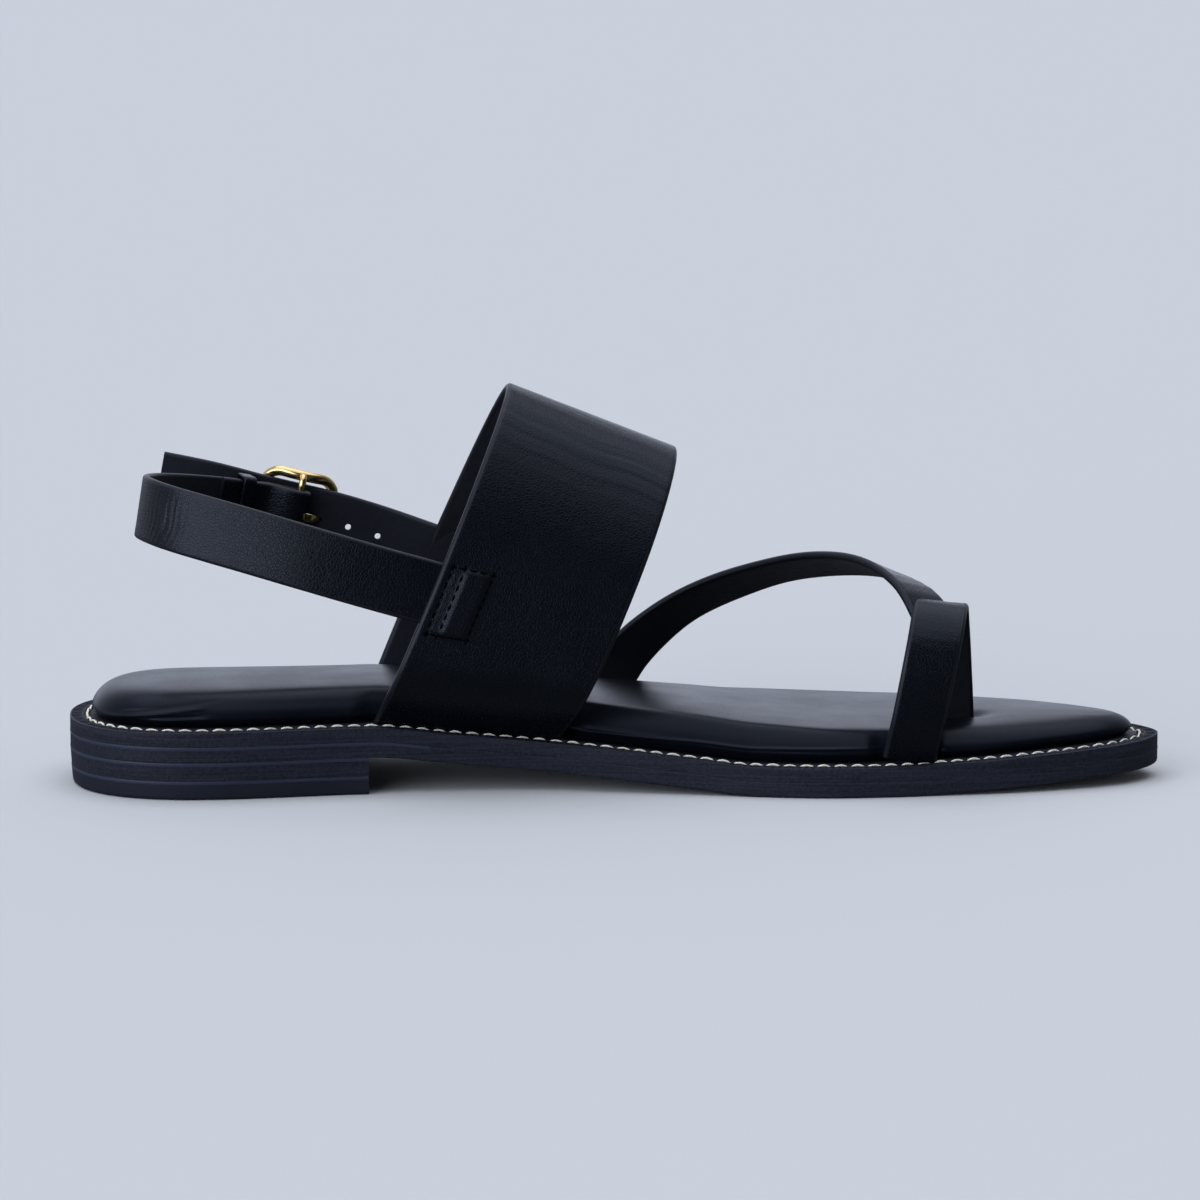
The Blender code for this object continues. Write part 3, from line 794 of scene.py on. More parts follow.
@dataclass(frozen=True)
class StackedEdge(Finish):
    """Stacked sole leather, trimmed and inked: fibres lie level, so streaks run round the edge.

    The specks are the ends of fibre bundles, drawn coarser than real ones so that they show.
    """

    streak: float = 0.42
    streak_run: float = 26.0
    streak_depth: float = 0.03
    speck: float = 0.6
    speck_depth: float = 0.16
    speck_gloss: float = 0.1

    def material(self) -> Material:
        """Make the sole's edge.

        Returns:
            The material.
        """
        tree, shader, place = self.start()
        stretch = tuple(1 / (size * MM) for size in (self.streak_run, self.streak_run, self.streak))
        level = add_node(tree, "ShaderNodeMapping", {"Vector": place, "Scale": stretch}).outputs["Vector"]
        streaks = add_node(
            tree, "ShaderNodeTexNoise", {"Vector": level, "Scale": 1.0, "Detail": 4.0},
        ).outputs["Fac"]
        speck = add_node(
            tree, "ShaderNodeTexNoise", {"Vector": place, "Scale": 1 / (self.speck * MM), "Detail": 4.0},
        ).outputs["Fac"]
        both = add_node(tree, "ShaderNodeMath", {0: streaks, 1: speck}, operation="ADD").outputs[0]
        amount = add_node(tree, "ShaderNodeMapRange", {"Value": both, "From Min": 0.75, "From Max": 1.25})
        self.tone(tree, shader, amount.outputs["Result"])
        least, most = self.roughness - self.speck_gloss, self.roughness + self.speck_gloss
        gloss = add_node(tree, "ShaderNodeMapRange", {"Value": speck, "To Min": least, "To Max": most})
        tree.links.new(gloss.outputs["Result"], shader.inputs["Roughness"])
        self.bump(tree, shader, ((streaks, self.streak_depth), (speck, self.speck_depth)))
        return bpy.data.materials[self.name]


@dataclass(frozen=True)
class FineFinish(Finish):
    """A finish with one fine texture, drawn coarse enough to show in the render."""

    texture: float = 0.8
    detail: float = 3.0
    depth: float = 0.03
    metallic: float = 0.0

    def material(self) -> Material:
        """Make the finish.

        Returns:
            The material.
        """
        tree, shader, place = self.start()
        shader.inputs["Metallic"].default_value = self.metallic
        self.blotch(tree, shader, place)
        inputs = {"Vector": place, "Scale": 1 / (self.texture * MM), "Detail": self.detail}
        height = add_node(tree, "ShaderNodeTexNoise", inputs).outputs["Fac"]
        self.bump(tree, shader, ((height, self.depth),))
        return bpy.data.materials[self.name]


@dataclass(frozen=True)
class EdgePaint(FineFinish):
    """Edge dye sanded and painted in coats: a smooth satin film with faint sanding marks."""


@dataclass(frozen=True)
class MouldedRubber(FineFinish):
    """Moulded rubber: dull and even, with a fine blasted mould texture."""

    patch: float = 8.0
    texture: float = 0.5


@dataclass(frozen=True)
class WaxedThread(FineFinish):
    """Waxed plied thread: pale fibres whose tone drifts in small patches."""

    patch: float = 1.6
    texture: float = 0.25
    detail: float = 2.0


@dataclass(frozen=True)
class CastBrass(FineFinish):
    """Cast brass, tumbled and lacquered: bright, with a faint ripple left by the casting."""

    patch: float = 3.0
    texture: float = 1.4
    detail: float = 2.0
    metallic: float = 1.0


@dataclass
class Finishes:
    """Every material of the sandal."""

    strap: Material
    lining: Material
    edge: Material
    footbed: Material
    sole: Material
    bead_wear_and_highlight: Material
    wheeled: Material
    rubber: Material
    cream_thread: Material
    black_thread: Material
    brass: Material

    @classmethod
    def mixed(cls) -> "Finishes":
        """Make the materials.

        Returns:
            All of them by name.
        """
        finishes = {
            "strap": SmoothLeather(
                "smooth_black_calf", "#04060a", "#080a10", 0.25, 0.22, 0.03,
                grain=0.68, depth=0.021, wave=0.04, dull=0.09,
            ),
            "lining": NappedLining("napped_black_lining", "#0a0b10", "#1a1c24", 0.75, 0.15),
            "edge": EdgePaint("painted_strap_edge", "#0b0d12", "#13151b", 0.42, 0.26),
            "footbed": SmoothLeather(
                "footbed_calf", "#080a10", "#0c0f16", 0.31, 0.12, 0.03, grain=0.6, depth=0.007, wave=0.025,
            ),
            "sole": StackedEdge("inked_stacked_leather", "#14161e", "#262933", 0.6, 0.2),
            "wheeled": StackedEdge("wheeled_welt_top", "#10121a", "#1c2029", 0.6, 0.2),
            # Paler bluish bead colour near the heel: partly less-inked layer edges, partly a painted
            # highlight
            "bead_wear_and_highlight": EdgePaint("worn_and_highlit_layer_edge", "#232837", "#2a3042", 0.5, 0.3),
            "rubber": MouldedRubber("moulded_black_rubber", "#151821", "#1c1f2a", 0.62, 0.25),
            "cream_thread": WaxedThread("waxed_cream_thread", "#d2c6a6", "#fbf4e2", 0.75, 0.3),
            "black_thread": WaxedThread("waxed_black_thread", "#010102", "#030405", 0.85, 0.03),
            "brass": CastBrass("cast_brass", "#cbab6c", "#e6cc94", 0.2, 0.5),
        }
        return cls(**{name: finish.material() for name, finish in finishes.items()})

    def strap_faces(self) -> list[Material]:
        """Return a strap's materials in the order of its faces."""
        return [self.strap, self.lining, self.edge]


@dataclass
class Ribbon:
    """A leather strap between two edge lines, with rounded painted edges and relief on its grain side."""

    name: str
    edge_a: Array
    edge_b: Array
    thick: float
    grain_out: int = 1
    relief: Relief | None = None
    seated: bool = False
    closed: bool = False
    face_step: float = 0.6
    corner_steps: int = 5
    corner_share: float = 0.46
    seat_gap: float = 0.05

    @property
    def rounding(self) -> float:
        """Return the radius of the strap's rounded edges."""
        return self.corner_share * self.thick

    @property
    def length(self) -> float:
        """Return the length of the strap's middle line."""
        return float(self.frames()[4][-1])

    def frames(self) -> tuple[Array, Array, Array, Array, Array]:
        """Read the strap's frame along its middle line.

        Returns:
            The middle line, the across and outward directions, the half widths and the arc.
        """
        middle = (self.edge_a + self.edge_b) / 2
        across = self.edge_b - self.edge_a
        half = np.linalg.norm(across, axis=1) / 2
        across = unit(across)
        out = unit(np.cross(across, tangents(middle, self.closed))) * self.grain_out
        return middle, across, out, half, distances(middle)

    def section(self, width: float) -> tuple[Array, Array, Array, list[int]]:
        """Draw the cross-section.

        Args:
            width: The strap's mean width.

        Returns:
            Each point's share of the flat width, its edge reach and its depth, and the face after it.
        """
        radius = self.rounding
        deep = self.thick / 2
        count = max(4, int(round(width / self.face_step)))
        flat = np.linspace(-1, 1, count + 1)
        turn = np.linspace(0, math.pi / 2, self.corner_steps + 1)
        reach = np.concatenate((radius * np.sin(turn[1:]), radius * np.cos(turn[:-1])))
        upper = deep - radius * (1 - np.cos(turn[1:]))
        lower = -deep + radius * (1 - np.sin(turn[:-1]))
        drop = np.concatenate((upper, lower))
        share = np.concatenate((flat, np.ones(len(reach)), -flat, -np.ones(len(reach))))
        edge = np.concatenate((np.zeros(count + 1), reach, np.zeros(count + 1), -reach))
        depth = np.concatenate((np.full(count + 1, deep), drop, np.full(count + 1, -deep), -drop))
        tags = [Face.GRAIN.value] * count + [Face.EDGE.value] * (len(reach) + 1)
        tags += [Face.LINING.value] * count + [Face.EDGE.value] * (len(reach) + 1)
        return share, edge, depth, tags

    def surface(self) -> tuple[Array, list[int]]:
        """Lay the cross-section along the strap.

        Returns:
            The points, ring by ring, and the face after each point of a ring.
        """
        middle, across, out, half, arc = self.frames()
        share, edge, depth, tags = self.section(2 * float(half.mean()))
        wide = share[None, :] * (half[:, None] - self.rounding) + edge[None, :]
        lift = np.broadcast_to(depth, wide.shape).copy()
        if self.relief is not None:
            weight = np.clip(depth / (self.thick / 2), 0, 1) ** 2
            lift += weight * self.relief(arc[:, None], wide + half[:, None])
        points = middle[:, None] + wide[..., None] * across[:, None] + lift[..., None] * out[:, None]
        if self.seated:
            floor = LAST.welt_top(points[..., 0]) + self.seat_gap
            points[..., 2] = np.maximum(points[..., 2], floor)
        return points, tags

    def build(self, materials: Sequence[Material]) -> Object:
        """Make the strap's object.

        Args:
            materials: The materials in the order of the faces.

        Returns:
            The strap.
        """
        points, tags = self.surface()
        builder = MeshBuilder(self.name)
        rings = [builder.add(ring) for ring in points]
        builder.skin(rings, self.closed, tags, Face.EDGE.value)
        return builder.finish(materials)

    def on_grain(self, along: Array, across: Array) -> tuple[Array, Array]:
        """Find places on the grain side.

        Args:
            along: Distances along the strap.
            across: Distances from its first edge.

        Returns:
            The places and the outward directions.
        """
        middle, sideways, out, half, arc = self.frames()
        place, side, normal = (
            np.column_stack([np.interp(along, arc, column) for column in rows.T])
            for rows in (middle, sideways, out)
        )
        normal = unit(normal)
        reach = across - np.interp(along, arc, half)
        lift = np.full(len(along), self.thick / 2)
        if self.relief is not None:
            lift = lift + self.relief(along, across)
        return place + reach[:, None] * side + lift[:, None] * normal, normal


def edges_beside(path: Array, across: Array, width: float) -> tuple[Array, Array]:
    """Return the two edges of a strap that follows a path.

    Args:
        path: The strap's middle line.
        across: The direction that its width lies nearest to.
        width: The strap's width.

    Returns:
        The two edges.
    """
    along = tangents(path)
    across = np.broadcast_to(np.asarray(across, float), path.shape)
    across = unit(across - np.sum(across * along, axis=1)[:, None] * along)
    return path - across * width / 2, path + across * width / 2


@dataclass(frozen=True)
class StrapFolds:
    """Fine folds across a strap, round a few places along it."""

    places: tuple[Row, ...]
    depth: float
    rate: float
    bend: float
    bend_length: float

    def relief(self, along: Array, across: Array) -> Array:
        """Return how far the folds lift the grain side at distances along and across the strap."""
        fade = sum(bell(along - middle, reach) for middle, reach in self.places)
        return fade * self.depth * np.sin(along * self.rate + self.bend * np.sin(across / self.bend_length))


@dataclass(frozen=True)
class Stitch:
    """The sizes of one stitch of plied thread."""

    pitch: float
    length: float
    rise: float
    sink: float
    thread: float
    plies: int = 3
    twist: float = 2.6


@dataclass
class StitchRun:
    """Stitches along a line, made by geometry nodes from a few named sizes."""

    name: str
    places: Array
    normals: Array
    stitch: Stitch
    seed: int
    closed: bool = False

    def guide(self) -> Object:
        """Make the line that the stitches follow, with the surface's direction at each point.

        Returns:
            The line.
        """
        mesh = bpy.data.meshes.new(self.name)
        count = len(self.places)
        links = [(k, k + 1) for k in range(count - 1)] + ([(count - 1, 0)] if self.closed else [])
        mesh.from_pydata(world(self.places).tolist(), links, [])
        up = mesh.attributes.new("up", "FLOAT_VECTOR", "POINT")
        up.data.foreach_set("vector", self.normals.astype(np.float32).ravel())
        return stand(self.name, mesh)

    @staticmethod
    def tree() -> Tree:
        """Find or make the node tree that lays plied stitches along a line.

        Returns:
            The tree.
        """
        tree = bpy.data.node_groups.get("plied stitches")
        if tree:
            return tree
        tree = bpy.data.node_groups.new("plied stitches", "GeometryNodeTree")
        tree.interface.new_socket("Geometry", in_out="OUTPUT", socket_type="NodeSocketGeometry")
        for name, kind in STITCH_INPUTS.items():
            tree.interface.new_socket(name, in_out="INPUT", socket_type=f"NodeSocket{kind}")
        given = add_node(tree, "NodeGroupInput").outputs
        half, back, down, valley = (
            add_node(tree, "ShaderNodeMath", {0: given[size], 1: share}, operation="MULTIPLY").outputs[0]
            for size, share in (("Length", 0.5), ("Length", -0.5), ("Sink", -1.0), ("Thread", PLY_VALLEY))
        )
        start = add_node(tree, "ShaderNodeCombineXYZ", {"X": back, "Z": down}).outputs[0]
        top = add_node(tree, "ShaderNodeCombineXYZ", {"Z": given["Rise"]}).outputs[0]
        end = add_node(tree, "ShaderNodeCombineXYZ", {"X": half, "Z": down}).outputs[0]
        arch = add_node(
            tree, "GeometryNodeCurveArc",
            {"Resolution": ARCH_POINTS, "Start": start, "Middle": top, "End": end}, mode="POINTS",
        )
        share = add_node(tree, "GeometryNodeSplineParameter").outputs["Factor"]
        turn = add_node(tree, "ShaderNodeMath", {0: share, 1: given["Twist"]}, operation="MULTIPLY")
        twisted = add_node(
            tree, "GeometryNodeSetCurveTilt", {"Curve": arch.outputs["Curve"], "Tilt": turn.outputs[0]},
        )
        section = add_node(
            tree, "GeometryNodeCurveStar",
            {"Points": given["Plies"], "Inner Radius": valley, "Outer Radius": given["Thread"]},
        )
        stitch = add_node(
            tree, "GeometryNodeCurveToMesh",
            {"Curve": twisted.outputs["Curve"], "Profile Curve": section.outputs["Curve"],
             "Fill Caps": True},
        )
        line = add_node(tree, "GeometryNodeMeshToCurve", {"Mesh": given["Geometry"]})
        spots = add_node(
            tree, "GeometryNodeCurveToPoints",
            {"Curve": line.outputs["Curve"], "Length": given["Pitch"]}, mode="LENGTH",
        )
        up = add_node(tree, "GeometryNodeInputNamedAttribute", {"Name": "up"}, data_type="FLOAT_VECTOR")
        turned = add_node(
            tree, "FunctionNodeAxesToRotation",
            {"Primary Axis": up.outputs["Attribute"], "Secondary Axis": spots.outputs["Tangent"]},
            primary_axis="Z", secondary_axis="X",
        )
        size = add_node(
            tree, "FunctionNodeRandomValue",
            {"Min": STITCH_LEAST, "Max": STITCH_MOST, "Seed": given["Seed"]}, data_type="FLOAT_VECTOR",
        )
        laid = add_node(
            tree, "GeometryNodeInstanceOnPoints",
            {"Points": spots.outputs["Points"], "Instance": stitch.outputs["Mesh"],
             "Rotation": turned.outputs["Rotation"], "Scale": size.outputs["Value"]},
        )
        real = add_node(tree, "GeometryNodeRealizeInstances", {"Geometry": laid.outputs["Instances"]})
        dyed = add_node(
            tree, "GeometryNodeSetMaterial",
            {"Geometry": real.outputs["Geometry"], "Material": given["Material"]},
        )
        add_node(tree, "NodeGroupOutput", {"Geometry": dyed.outputs["Geometry"]})
        return tree

    def build(self, material: Material) -> Object:
        """Make the stitches as one plain mesh, with a whole number of them on the line.

        Args:
            material: The thread's material.

        Returns:
            The stitches.
        """
        run = self.guide()
        modifier = run.modifiers.new("stitches", "NODES")
        modifier.node_group = self.tree()
        ends = self.places[:1] if self.closed else self.places[:0]
        total = float(distances(np.vstack((self.places, ends)))[-1])
        stitch = self.stitch
        sizes = {
            "Pitch": total / max(1, round(total / stitch.pitch)), "Length": stitch.length,
            "Rise": stitch.rise, "Sink": stitch.sink, "Thread": stitch.thread,
        }
        values: dict[str, Any] = {name: size * MM for name, size in sizes.items()}
        values |= {"Twist": stitch.twist, "Plies": stitch.plies, "Seed": self.seed, "Material": material}
        for socket in modifier.node_group.interface.items_tree:
            if socket.in_out == "INPUT" and socket.name in values:
                modifier[socket.identifier] = values[socket.name]
        flatten(run)
        run.data.shade_smooth()
        return run


@dataclass
class Sole:
    """The layered sole: welt layer, outsole, heel lift and rubber top piece, with the welt's stitches."""

    finishes: Finishes
    welt_points: int = 1600
    outsole_points: int = 900
    heel_points: int = 160
    seam: float = 0.02
    corner: Profile = Profile((0, 66, 78, 258), (0.08, 0.08, 0.7, 0.7))
    welt_corner: float = 0.12
    lift_corner: float = 0.1
    rubber_corner: float = 1.0
    corner_steps: int = 4
    bead: float = 0.06
    # Distance below the layer's top and share of the bead
    bead_steps: tuple[Row, ...] = ((0.72, 0.0), (0.5, 0.75), (0.28, 1.0), (0.12, 0.75), (0.0, 0.0))
    # Station up to which the beads take the paler colour: partly less-inked edges, partly a painted
    # highlight
    wear_and_highlight_to: float = 84.0
    breast: float = 70.0
    heel_taper: Row = (0.0, 0.2, 0.4)
    top_piece: float = 4.45
    wheel_pitch: float = 1.6
    wheel_depth: float = 0.7
    wheel_power: float = 1.5
    # Inset and share of the wheel's depth
    wheel_steps: tuple[Row, ...] = (
        (0.35, 0.0), (0.6, 0.9), (1.2, 1.0), (1.9, 1.0), (2.5, 0.8), (2.9, 0.0),
    )
    gutter: float = 4.1
    gutter_width: float = 1.9
    gutter_depth: float = 0.6
    gutter_wall: float = 0.3
    covered: float = 4.9
    stitch: Stitch = Stitch(pitch=4.0, length=4.1, rise=0.3, sink=0.95, thread=0.32)
    stitch_drop: float = 0.25
    stitch_points: int = 1000
    stitch_seed: int = 4

    def layer(
        self, name: str, outline: Outline, steps: Sequence[Step], material: Material,
        side_steps: int | None = None,
    ) -> Object:
        """Build a sole layer from its rings, lowest first.

        Args:
            name: The layer's name.
            outline: The loop that it follows.
            steps: The inset and the height of each ring.
            material: The material of its side.
            side_steps: How many strips lie below a wheeled top. Without it the layer ends in a bead,
            whose colour near the heel is paler: partly less-inked edges, partly a painted highlight.

        Returns:
            The layer.
        """
        beaded = side_steps is None
        first = len(steps) - len(self.bead_steps) if beaded else side_steps
        # Beads near the heel take the paler colour: partly less-inked edges, partly a painted highlight
        pale = (outline.points[:, 0] < self.wear_and_highlight_to) | (not beaded)
        builder = MeshBuilder(name)
        rings = [builder.add(outline.ring(inset, height)) for inset, height in steps]
        for step, (low, high) in enumerate(zip(rings, rings[1:])):
            start = len(builder.slots)
            builder.quads(low, high)
            if step >= first:
                builder.slots[start:] = pale.astype(int).tolist()
        for ring in (rings[0], rings[-1]):
            start = 0 if outline.breast is None else len(ring) // 2
            builder.across(np.roll(ring, -start))
        return builder.finish([material, self.finishes.bead_wear_and_highlight if beaded else self.finishes.wheeled])

    def side(
        self, low: Height, high: Height, corner: Inset, bead: float, foot: float = 0.0, head: float = 0.0,
    ) -> list[Step]:
        """Draw a layer's side, rounded below and with a raised bead along its upper edge.

        Args:
            low: The height of its lower edge.
            high: The height of its upper edge.
            corner: The radius of the lower edge.
            bead: How far the bead stands out.
            foot: The inset of the lower edge.
            head: The inset of the upper edge.

        Returns:
            The inset and the height of each ring.
        """
        steps: list[Step] = []
        for turn in np.linspace(0, math.pi / 2, self.corner_steps):
            back, rise = corner * (1 - math.sin(turn)), corner * (1 - math.cos(turn))
            steps.append((foot + back, lambda s, rise=rise: low(s) + rise))
        for rest, share in self.bead_steps:
            steps.append((head - bead * share, lambda s, rest=rest: high(s) - rest))
        return steps

    @staticmethod
    def level(height: float) -> Height:
        """Return one height for every station."""
        return lambda s: np.full_like(s, height)

    def build(self) -> None:
        """Build the layers and the stitches of the welt."""
        fine, plain = Outline.whole(self.welt_points), Outline.whole(self.outsole_points)
        heel = Outline.heel(self.heel_points, self.breast)
        seam, bead = self.seam, self.bead
        corner = self.corner.at(plain.points[:, 0])
        thick = LAST.outsole - seam
        outsole = self.side(LAST.bottom.at, lambda s: LAST.bottom.at(s) + thick, corner, bead)
        dress(self.layer("outsole_layer", plain, outsole, self.finishes.sole), Slot.SOLE, "outsole")
        side_steps = self.corner_steps + len(self.bead_steps) - 1
        welt = self.layer("welt_layer", fine, self.welt_steps(fine), self.finishes.sole, side_steps)
        dress(welt, Slot.SOLE, "midsole")
        top = float(LAST.bottom.at(0.0))
        head, middle, foot = self.heel_taper
        lift = self.side(
            self.level(self.top_piece), self.level(top - seam), self.lift_corner, bead, middle, head,
        )
        dress(self.layer("heel_lift_layer", heel, lift, self.finishes.sole), Slot.SOLE, "heel_lift")
        rubber = self.side(
            self.level(0.0), self.level(self.top_piece - seam), self.rubber_corner, bead, foot, middle,
        )
        piece = self.layer("heel_rubber_piece", heel, rubber, self.finishes.rubber)
        dress(piece, Slot.RUBBER, "heel_top_piece")
        self.sew()

    def welt_steps(self, outline: Outline) -> list[Step]:
        """Draw the welt layer: its side, its wheeled rim and the stitch gutter.

        Args:
            outline: The loop that it follows.

        Returns:
            The inset and the height of each ring.
        """
        top = LAST.welt_top
        turns = 2 * math.pi * distances(outline.points) / self.wheel_pitch
        wheel = (0.5 + 0.5 * np.cos(turns)) ** self.wheel_power
        steps = self.side(lambda s: LAST.bottom.at(s) + LAST.outsole, top, self.welt_corner, 0.0)[:-1]
        for inset, share in self.wheel_steps:
            steps.append((inset, lambda s, share=share: top(s) - self.wheel_depth * share * wheel))
        half, wall = self.gutter_width / 2, self.gutter_width / 2 - self.gutter_wall
        trench = (-half, 0.1), (-wall, 0.8), (0.0, 1.0), (wall, 0.8), (half, 0.0), (self.covered, 0.0)
        for reach, share in trench:
            steps.append((self.gutter + reach, lambda s, share=share: top(s) - self.gutter_depth * share))
        return steps

    def sew(self) -> None:
        """Lay the thread round the welt, a hump for each stitch."""
        line = Outline.whole(self.stitch_points).ring(
            self.gutter, lambda s: LAST.welt_top(s) - self.stitch_drop,
        )
        up = np.tile((0.0, 0.0, 1.0), (len(line), 1))
        run = StitchRun("welt_stitching", line, up, self.stitch, self.stitch_seed, closed=True)
        dress(run.build(self.finishes.cream_thread), Slot.SOLE)


@dataclass(frozen=True)
class Fold:
    """A fold of the footbed's wrapping, which runs along its side and may climb."""

    start: float
    end: float
    fade: float
    low: float
    slope: float
    width: float
    deep: float

    def at(self, station: Array, rise: Array) -> Array:
        """Return how far the fold moves the surface outwards at stations and heights above the welt."""
        ridge = bell(rise - self.low - self.slope * (station - self.start), self.width)
        return self.deep * ridge * window(station, self.start, self.end, self.fade)


@dataclass
class Footbed:
    """The padded footbed: leather drawn over foam, with the creases of its wrapping."""

    finishes: Finishes
    points: int = 960
    rings: int = 56
    inset: Profile = Profile((0, 8, 30, 258), (5.2, 5.4, 6.2, 6.2))
    seat_gap: float = 0.06
    tuck: float = 1.7
    tuck_power: float = 1.5
    tuck_steps: Row = (0.25, 0.5, 0.75)
    height: Profile = Profile(
        (0, 60, 125, 140, 155, 166, 178, 187, 215, 235, 258),
        (8.4, 8.5, 9.3, 9.2, 9.05, 8.4, 7.65, 7.4, 6.9, 6.6, 6.2),
    )
    side_share: float = 0.25
    side_power: float = 0.6
    side_reach: Profile = Profile((0, 200, 235, 258), (4.8, 4.8, 6.2, 6.2))
    side_dip: float = 0.3
    crown_reach: float = 30.0
    crown_drop: Profile = Profile((0, 190, 215, 258), (0.1, 0.1, 0.17, 0.22))
    tilt: Profile = Profile((0, 110, 150, 258), (0.01, 0.01, 0.02, 0.02))
    softness: Profile = Profile(
        (0, 25, 65, 105, 125, 195, 215, 258), (0.17, 0.15, 0.11, 0.08, 0.06, 0.07, 0.1, 0.12),
    )
    rim: float = 15.0
    toe_rim: float = 3.6
    toe_reach: float = 40.0
    # Start, end and fade of the stretches that the straps' legs press in
    band_press: Row = (69, 118, 5.0)
    loop_press: Row = (188, 203.5, 4.0)
    cross_press: Row = (119, 135, 4.0)
    press_depth: float = 1.35
    press_reach: float = 4.0
    inner_folds: tuple[Fold, ...] = (
        Fold(110, 190, 18.0, 1.1, 0.0, 0.7, -0.3),
        Fold(8, 31, 6.0, 1.7, 0.115, 0.4, 0.34),
        Fold(13, 32, 6.0, 1.6, 0.07, 0.4, -0.32),
        Fold(16, 33, 6.0, 1.75, 0.01, 0.4, 0.3),
        Fold(10, 33, 6.0, 0.95, 0.0, 0.4, -0.26),
        Fold(10, 34, 6.0, 3.0, 0.12, 0.4, -0.16),
    )
    outer_folds: tuple[Fold, ...] = (Fold(8, 34, 9.0, 1.4, 0.05, 0.7, -0.28),)
    toe_fold: Fold = Fold(218, 252, 12.0, 1.4, 0.0, 0.6, -0.25)
    # The long fold of the forefoot: start, end and fade of its run and of its higher part
    ridge: Row = (116, 186, 16.0)
    ridge_low: float = 2.6
    ridge_step: float = 0.5
    ridge_higher: Row = (140, 300, 24.0)
    ridge_width: float = 0.3
    ridge_deep: float = 0.42
    swell: float = 0.05
    swell_along: float = 17.0
    swell_across: float = 11.0
    swell_skew: float = 31.0
    swell_phase: float = 0.6
    crease_lift: float = 0.6
    slit_gap: float = 0.25
    dimple_place: Row = (207.6, -10.6)
    dimple_half: float = 6.3
    dimple_reach: float = 3.4
    dimple_depth: float = 1.1
    cap_columns: int = 44
    cap_rounds: int = 60
    cap_stride: int = 3

    def top(self, station: Array, depth: Array) -> Array:
        """Return the height of the padded surface.

        Args:
            station: The stations.
            depth: The distances inside the footbed's edge.

        Returns:
            The height at each point.
        """
        climb = (np.maximum(depth, 0) / self.side_reach.at(station)) ** self.side_power
        side = self.side_share + (1 - self.side_share) * climb
        crown = 1 - self.crown_drop.at(station) * np.maximum(0.0, 1 - depth / self.crown_reach) ** 2
        soft = self.softness.at(station)
        share = -soft * np.log(np.exp(-side / soft) + np.exp(-crown / soft))
        share = np.maximum(share, self.side_share * (1 - self.side_dip * np.exp(-depth)))
        return LAST.welt_top(station) + share * self.height.at(station)

    def creases(self, points: Array, inner: Array) -> Array:
        """Return how far the wrapping's folds move the surface outwards.

        Args:
            points: The points of a ring.
            inner: One on the inner side of the foot and zero on the outer.

        Returns:
            The move at each point.
        """
        station, across = points[:, 0], points[:, 1]
        rise = points[:, 2] - LAST.welt_top(station)
        low = self.ridge_low + self.ridge_step * window(station, *self.ridge_higher)
        ridge = self.ridge_deep * bell(rise - low, self.ridge_width) * window(station, *self.ridge)
        near = ridge + sum(fold.at(station, rise) for fold in self.inner_folds)
        far = sum(fold.at(station, rise) for fold in self.outer_folds)
        waves = np.sin(station / self.swell_along + self.swell_phase)
        waves = waves * np.sin(across / self.swell_across + station / self.swell_skew)
        return near * inner + far * (1 - inner) + self.toe_fold.at(station, rise) + self.swell * waves

    def build(self) -> None:
        """Build the footbed, with the slit for the toe loop."""
        outline = Outline.whole(self.points)
        station = outline.points[:, 0]
        inner = np.where(np.arange(self.points) < self.points // 2, 1.0, 0.0)
        builder = MeshBuilder("padded_footbed")
        legs = (self.band_press, 1.0), (self.loop_press, inner), (self.cross_press, 1 - inner)
        press = self.press_depth * np.max([window(station, *leg) * side for leg, side in legs], axis=0)
        start = self.inset.at(station)
        runs = [outline.ring(start + self.tuck + press, lambda s: LAST.welt_top(s) + self.seat_gap)]
        for share in self.tuck_steps:
            tucked = self.tuck * (1 - share) ** self.tuck_power
            lift = share * self.side_share
            runs.append(outline.ring(
                start + tucked + press, lambda s, lift=lift: LAST.welt_top(s) + lift * self.height.at(s),
            ))
        toe = np.clip((LAST.length - station) / self.toe_reach, 0, 1)
        rim = self.toe_rim + (self.rim - self.toe_rim) * ease(toe)
        for k in range(self.rings + 1):
            depth = rim * (k / self.rings) ** 2
            hold = press * np.maximum(0.0, 1 - depth / self.press_reach)
            runs.append(outline.ring(start + depth + hold, lambda s, depth=depth: self.top(s, depth)))
        shaped = [self.shape(run, inner) for run in runs]
        rings = [builder.add(run) for run in shaped]
        for low, high in zip(rings, rings[1:]):
            builder.quads(low, high)
        builder.across(rings[0])
        self.cap(builder, outline, shaped[-1], rings[-1])
        footbed = builder.finish([self.finishes.footbed], sharp=80.0)
        slit = TOES.loop("slit", grow=self.slit_gap)
        cut(footbed, [slit.build([])])
        dress(footbed, Slot.FOOTBED, "footbed")

    def shape(self, run: Array, inner: Array) -> Array:
        """Move a ring by the creases, sideways near the welt and upwards on top.

        Args:
            run: The ring's points.
            inner: One on the inner side of the foot and zero on the outer.

        Returns:
            The moved ring.
        """
        moved = run.copy()
        amount = self.creases(run, inner)
        along = tangents(run[:, :2], closed=True)
        rise = np.clip((run[:, 2] - LAST.welt_top(run[:, 0])) / self.height.at(run[:, 0]), 0, 1)
        outward = np.column_stack((along[:, 1], -along[:, 0]))
        moved[:, :2] += (amount * np.sqrt(1 - rise * rise) * (rise > 0))[:, None] * outward
        lean = self.tilt.at(run[:, 0]) * rise * run[:, 1]
        moved[:, 2] += amount * rise * self.crease_lift - self.dimple(run) - lean
        return moved

    def dimple(self, points: Array) -> Array:
        """Return how deep the toe loop draws the leather down round its slit.

        Args:
            points: Points of the footbed's top.

        Returns:
            The depth at each.
        """
        station, across = self.dimple_place
        along = np.maximum(0.0, np.abs(points[:, 0] - station) - self.dimple_half)
        return self.dimple_depth * bell(np.hypot(along, points[:, 1] - across), self.dimple_reach)

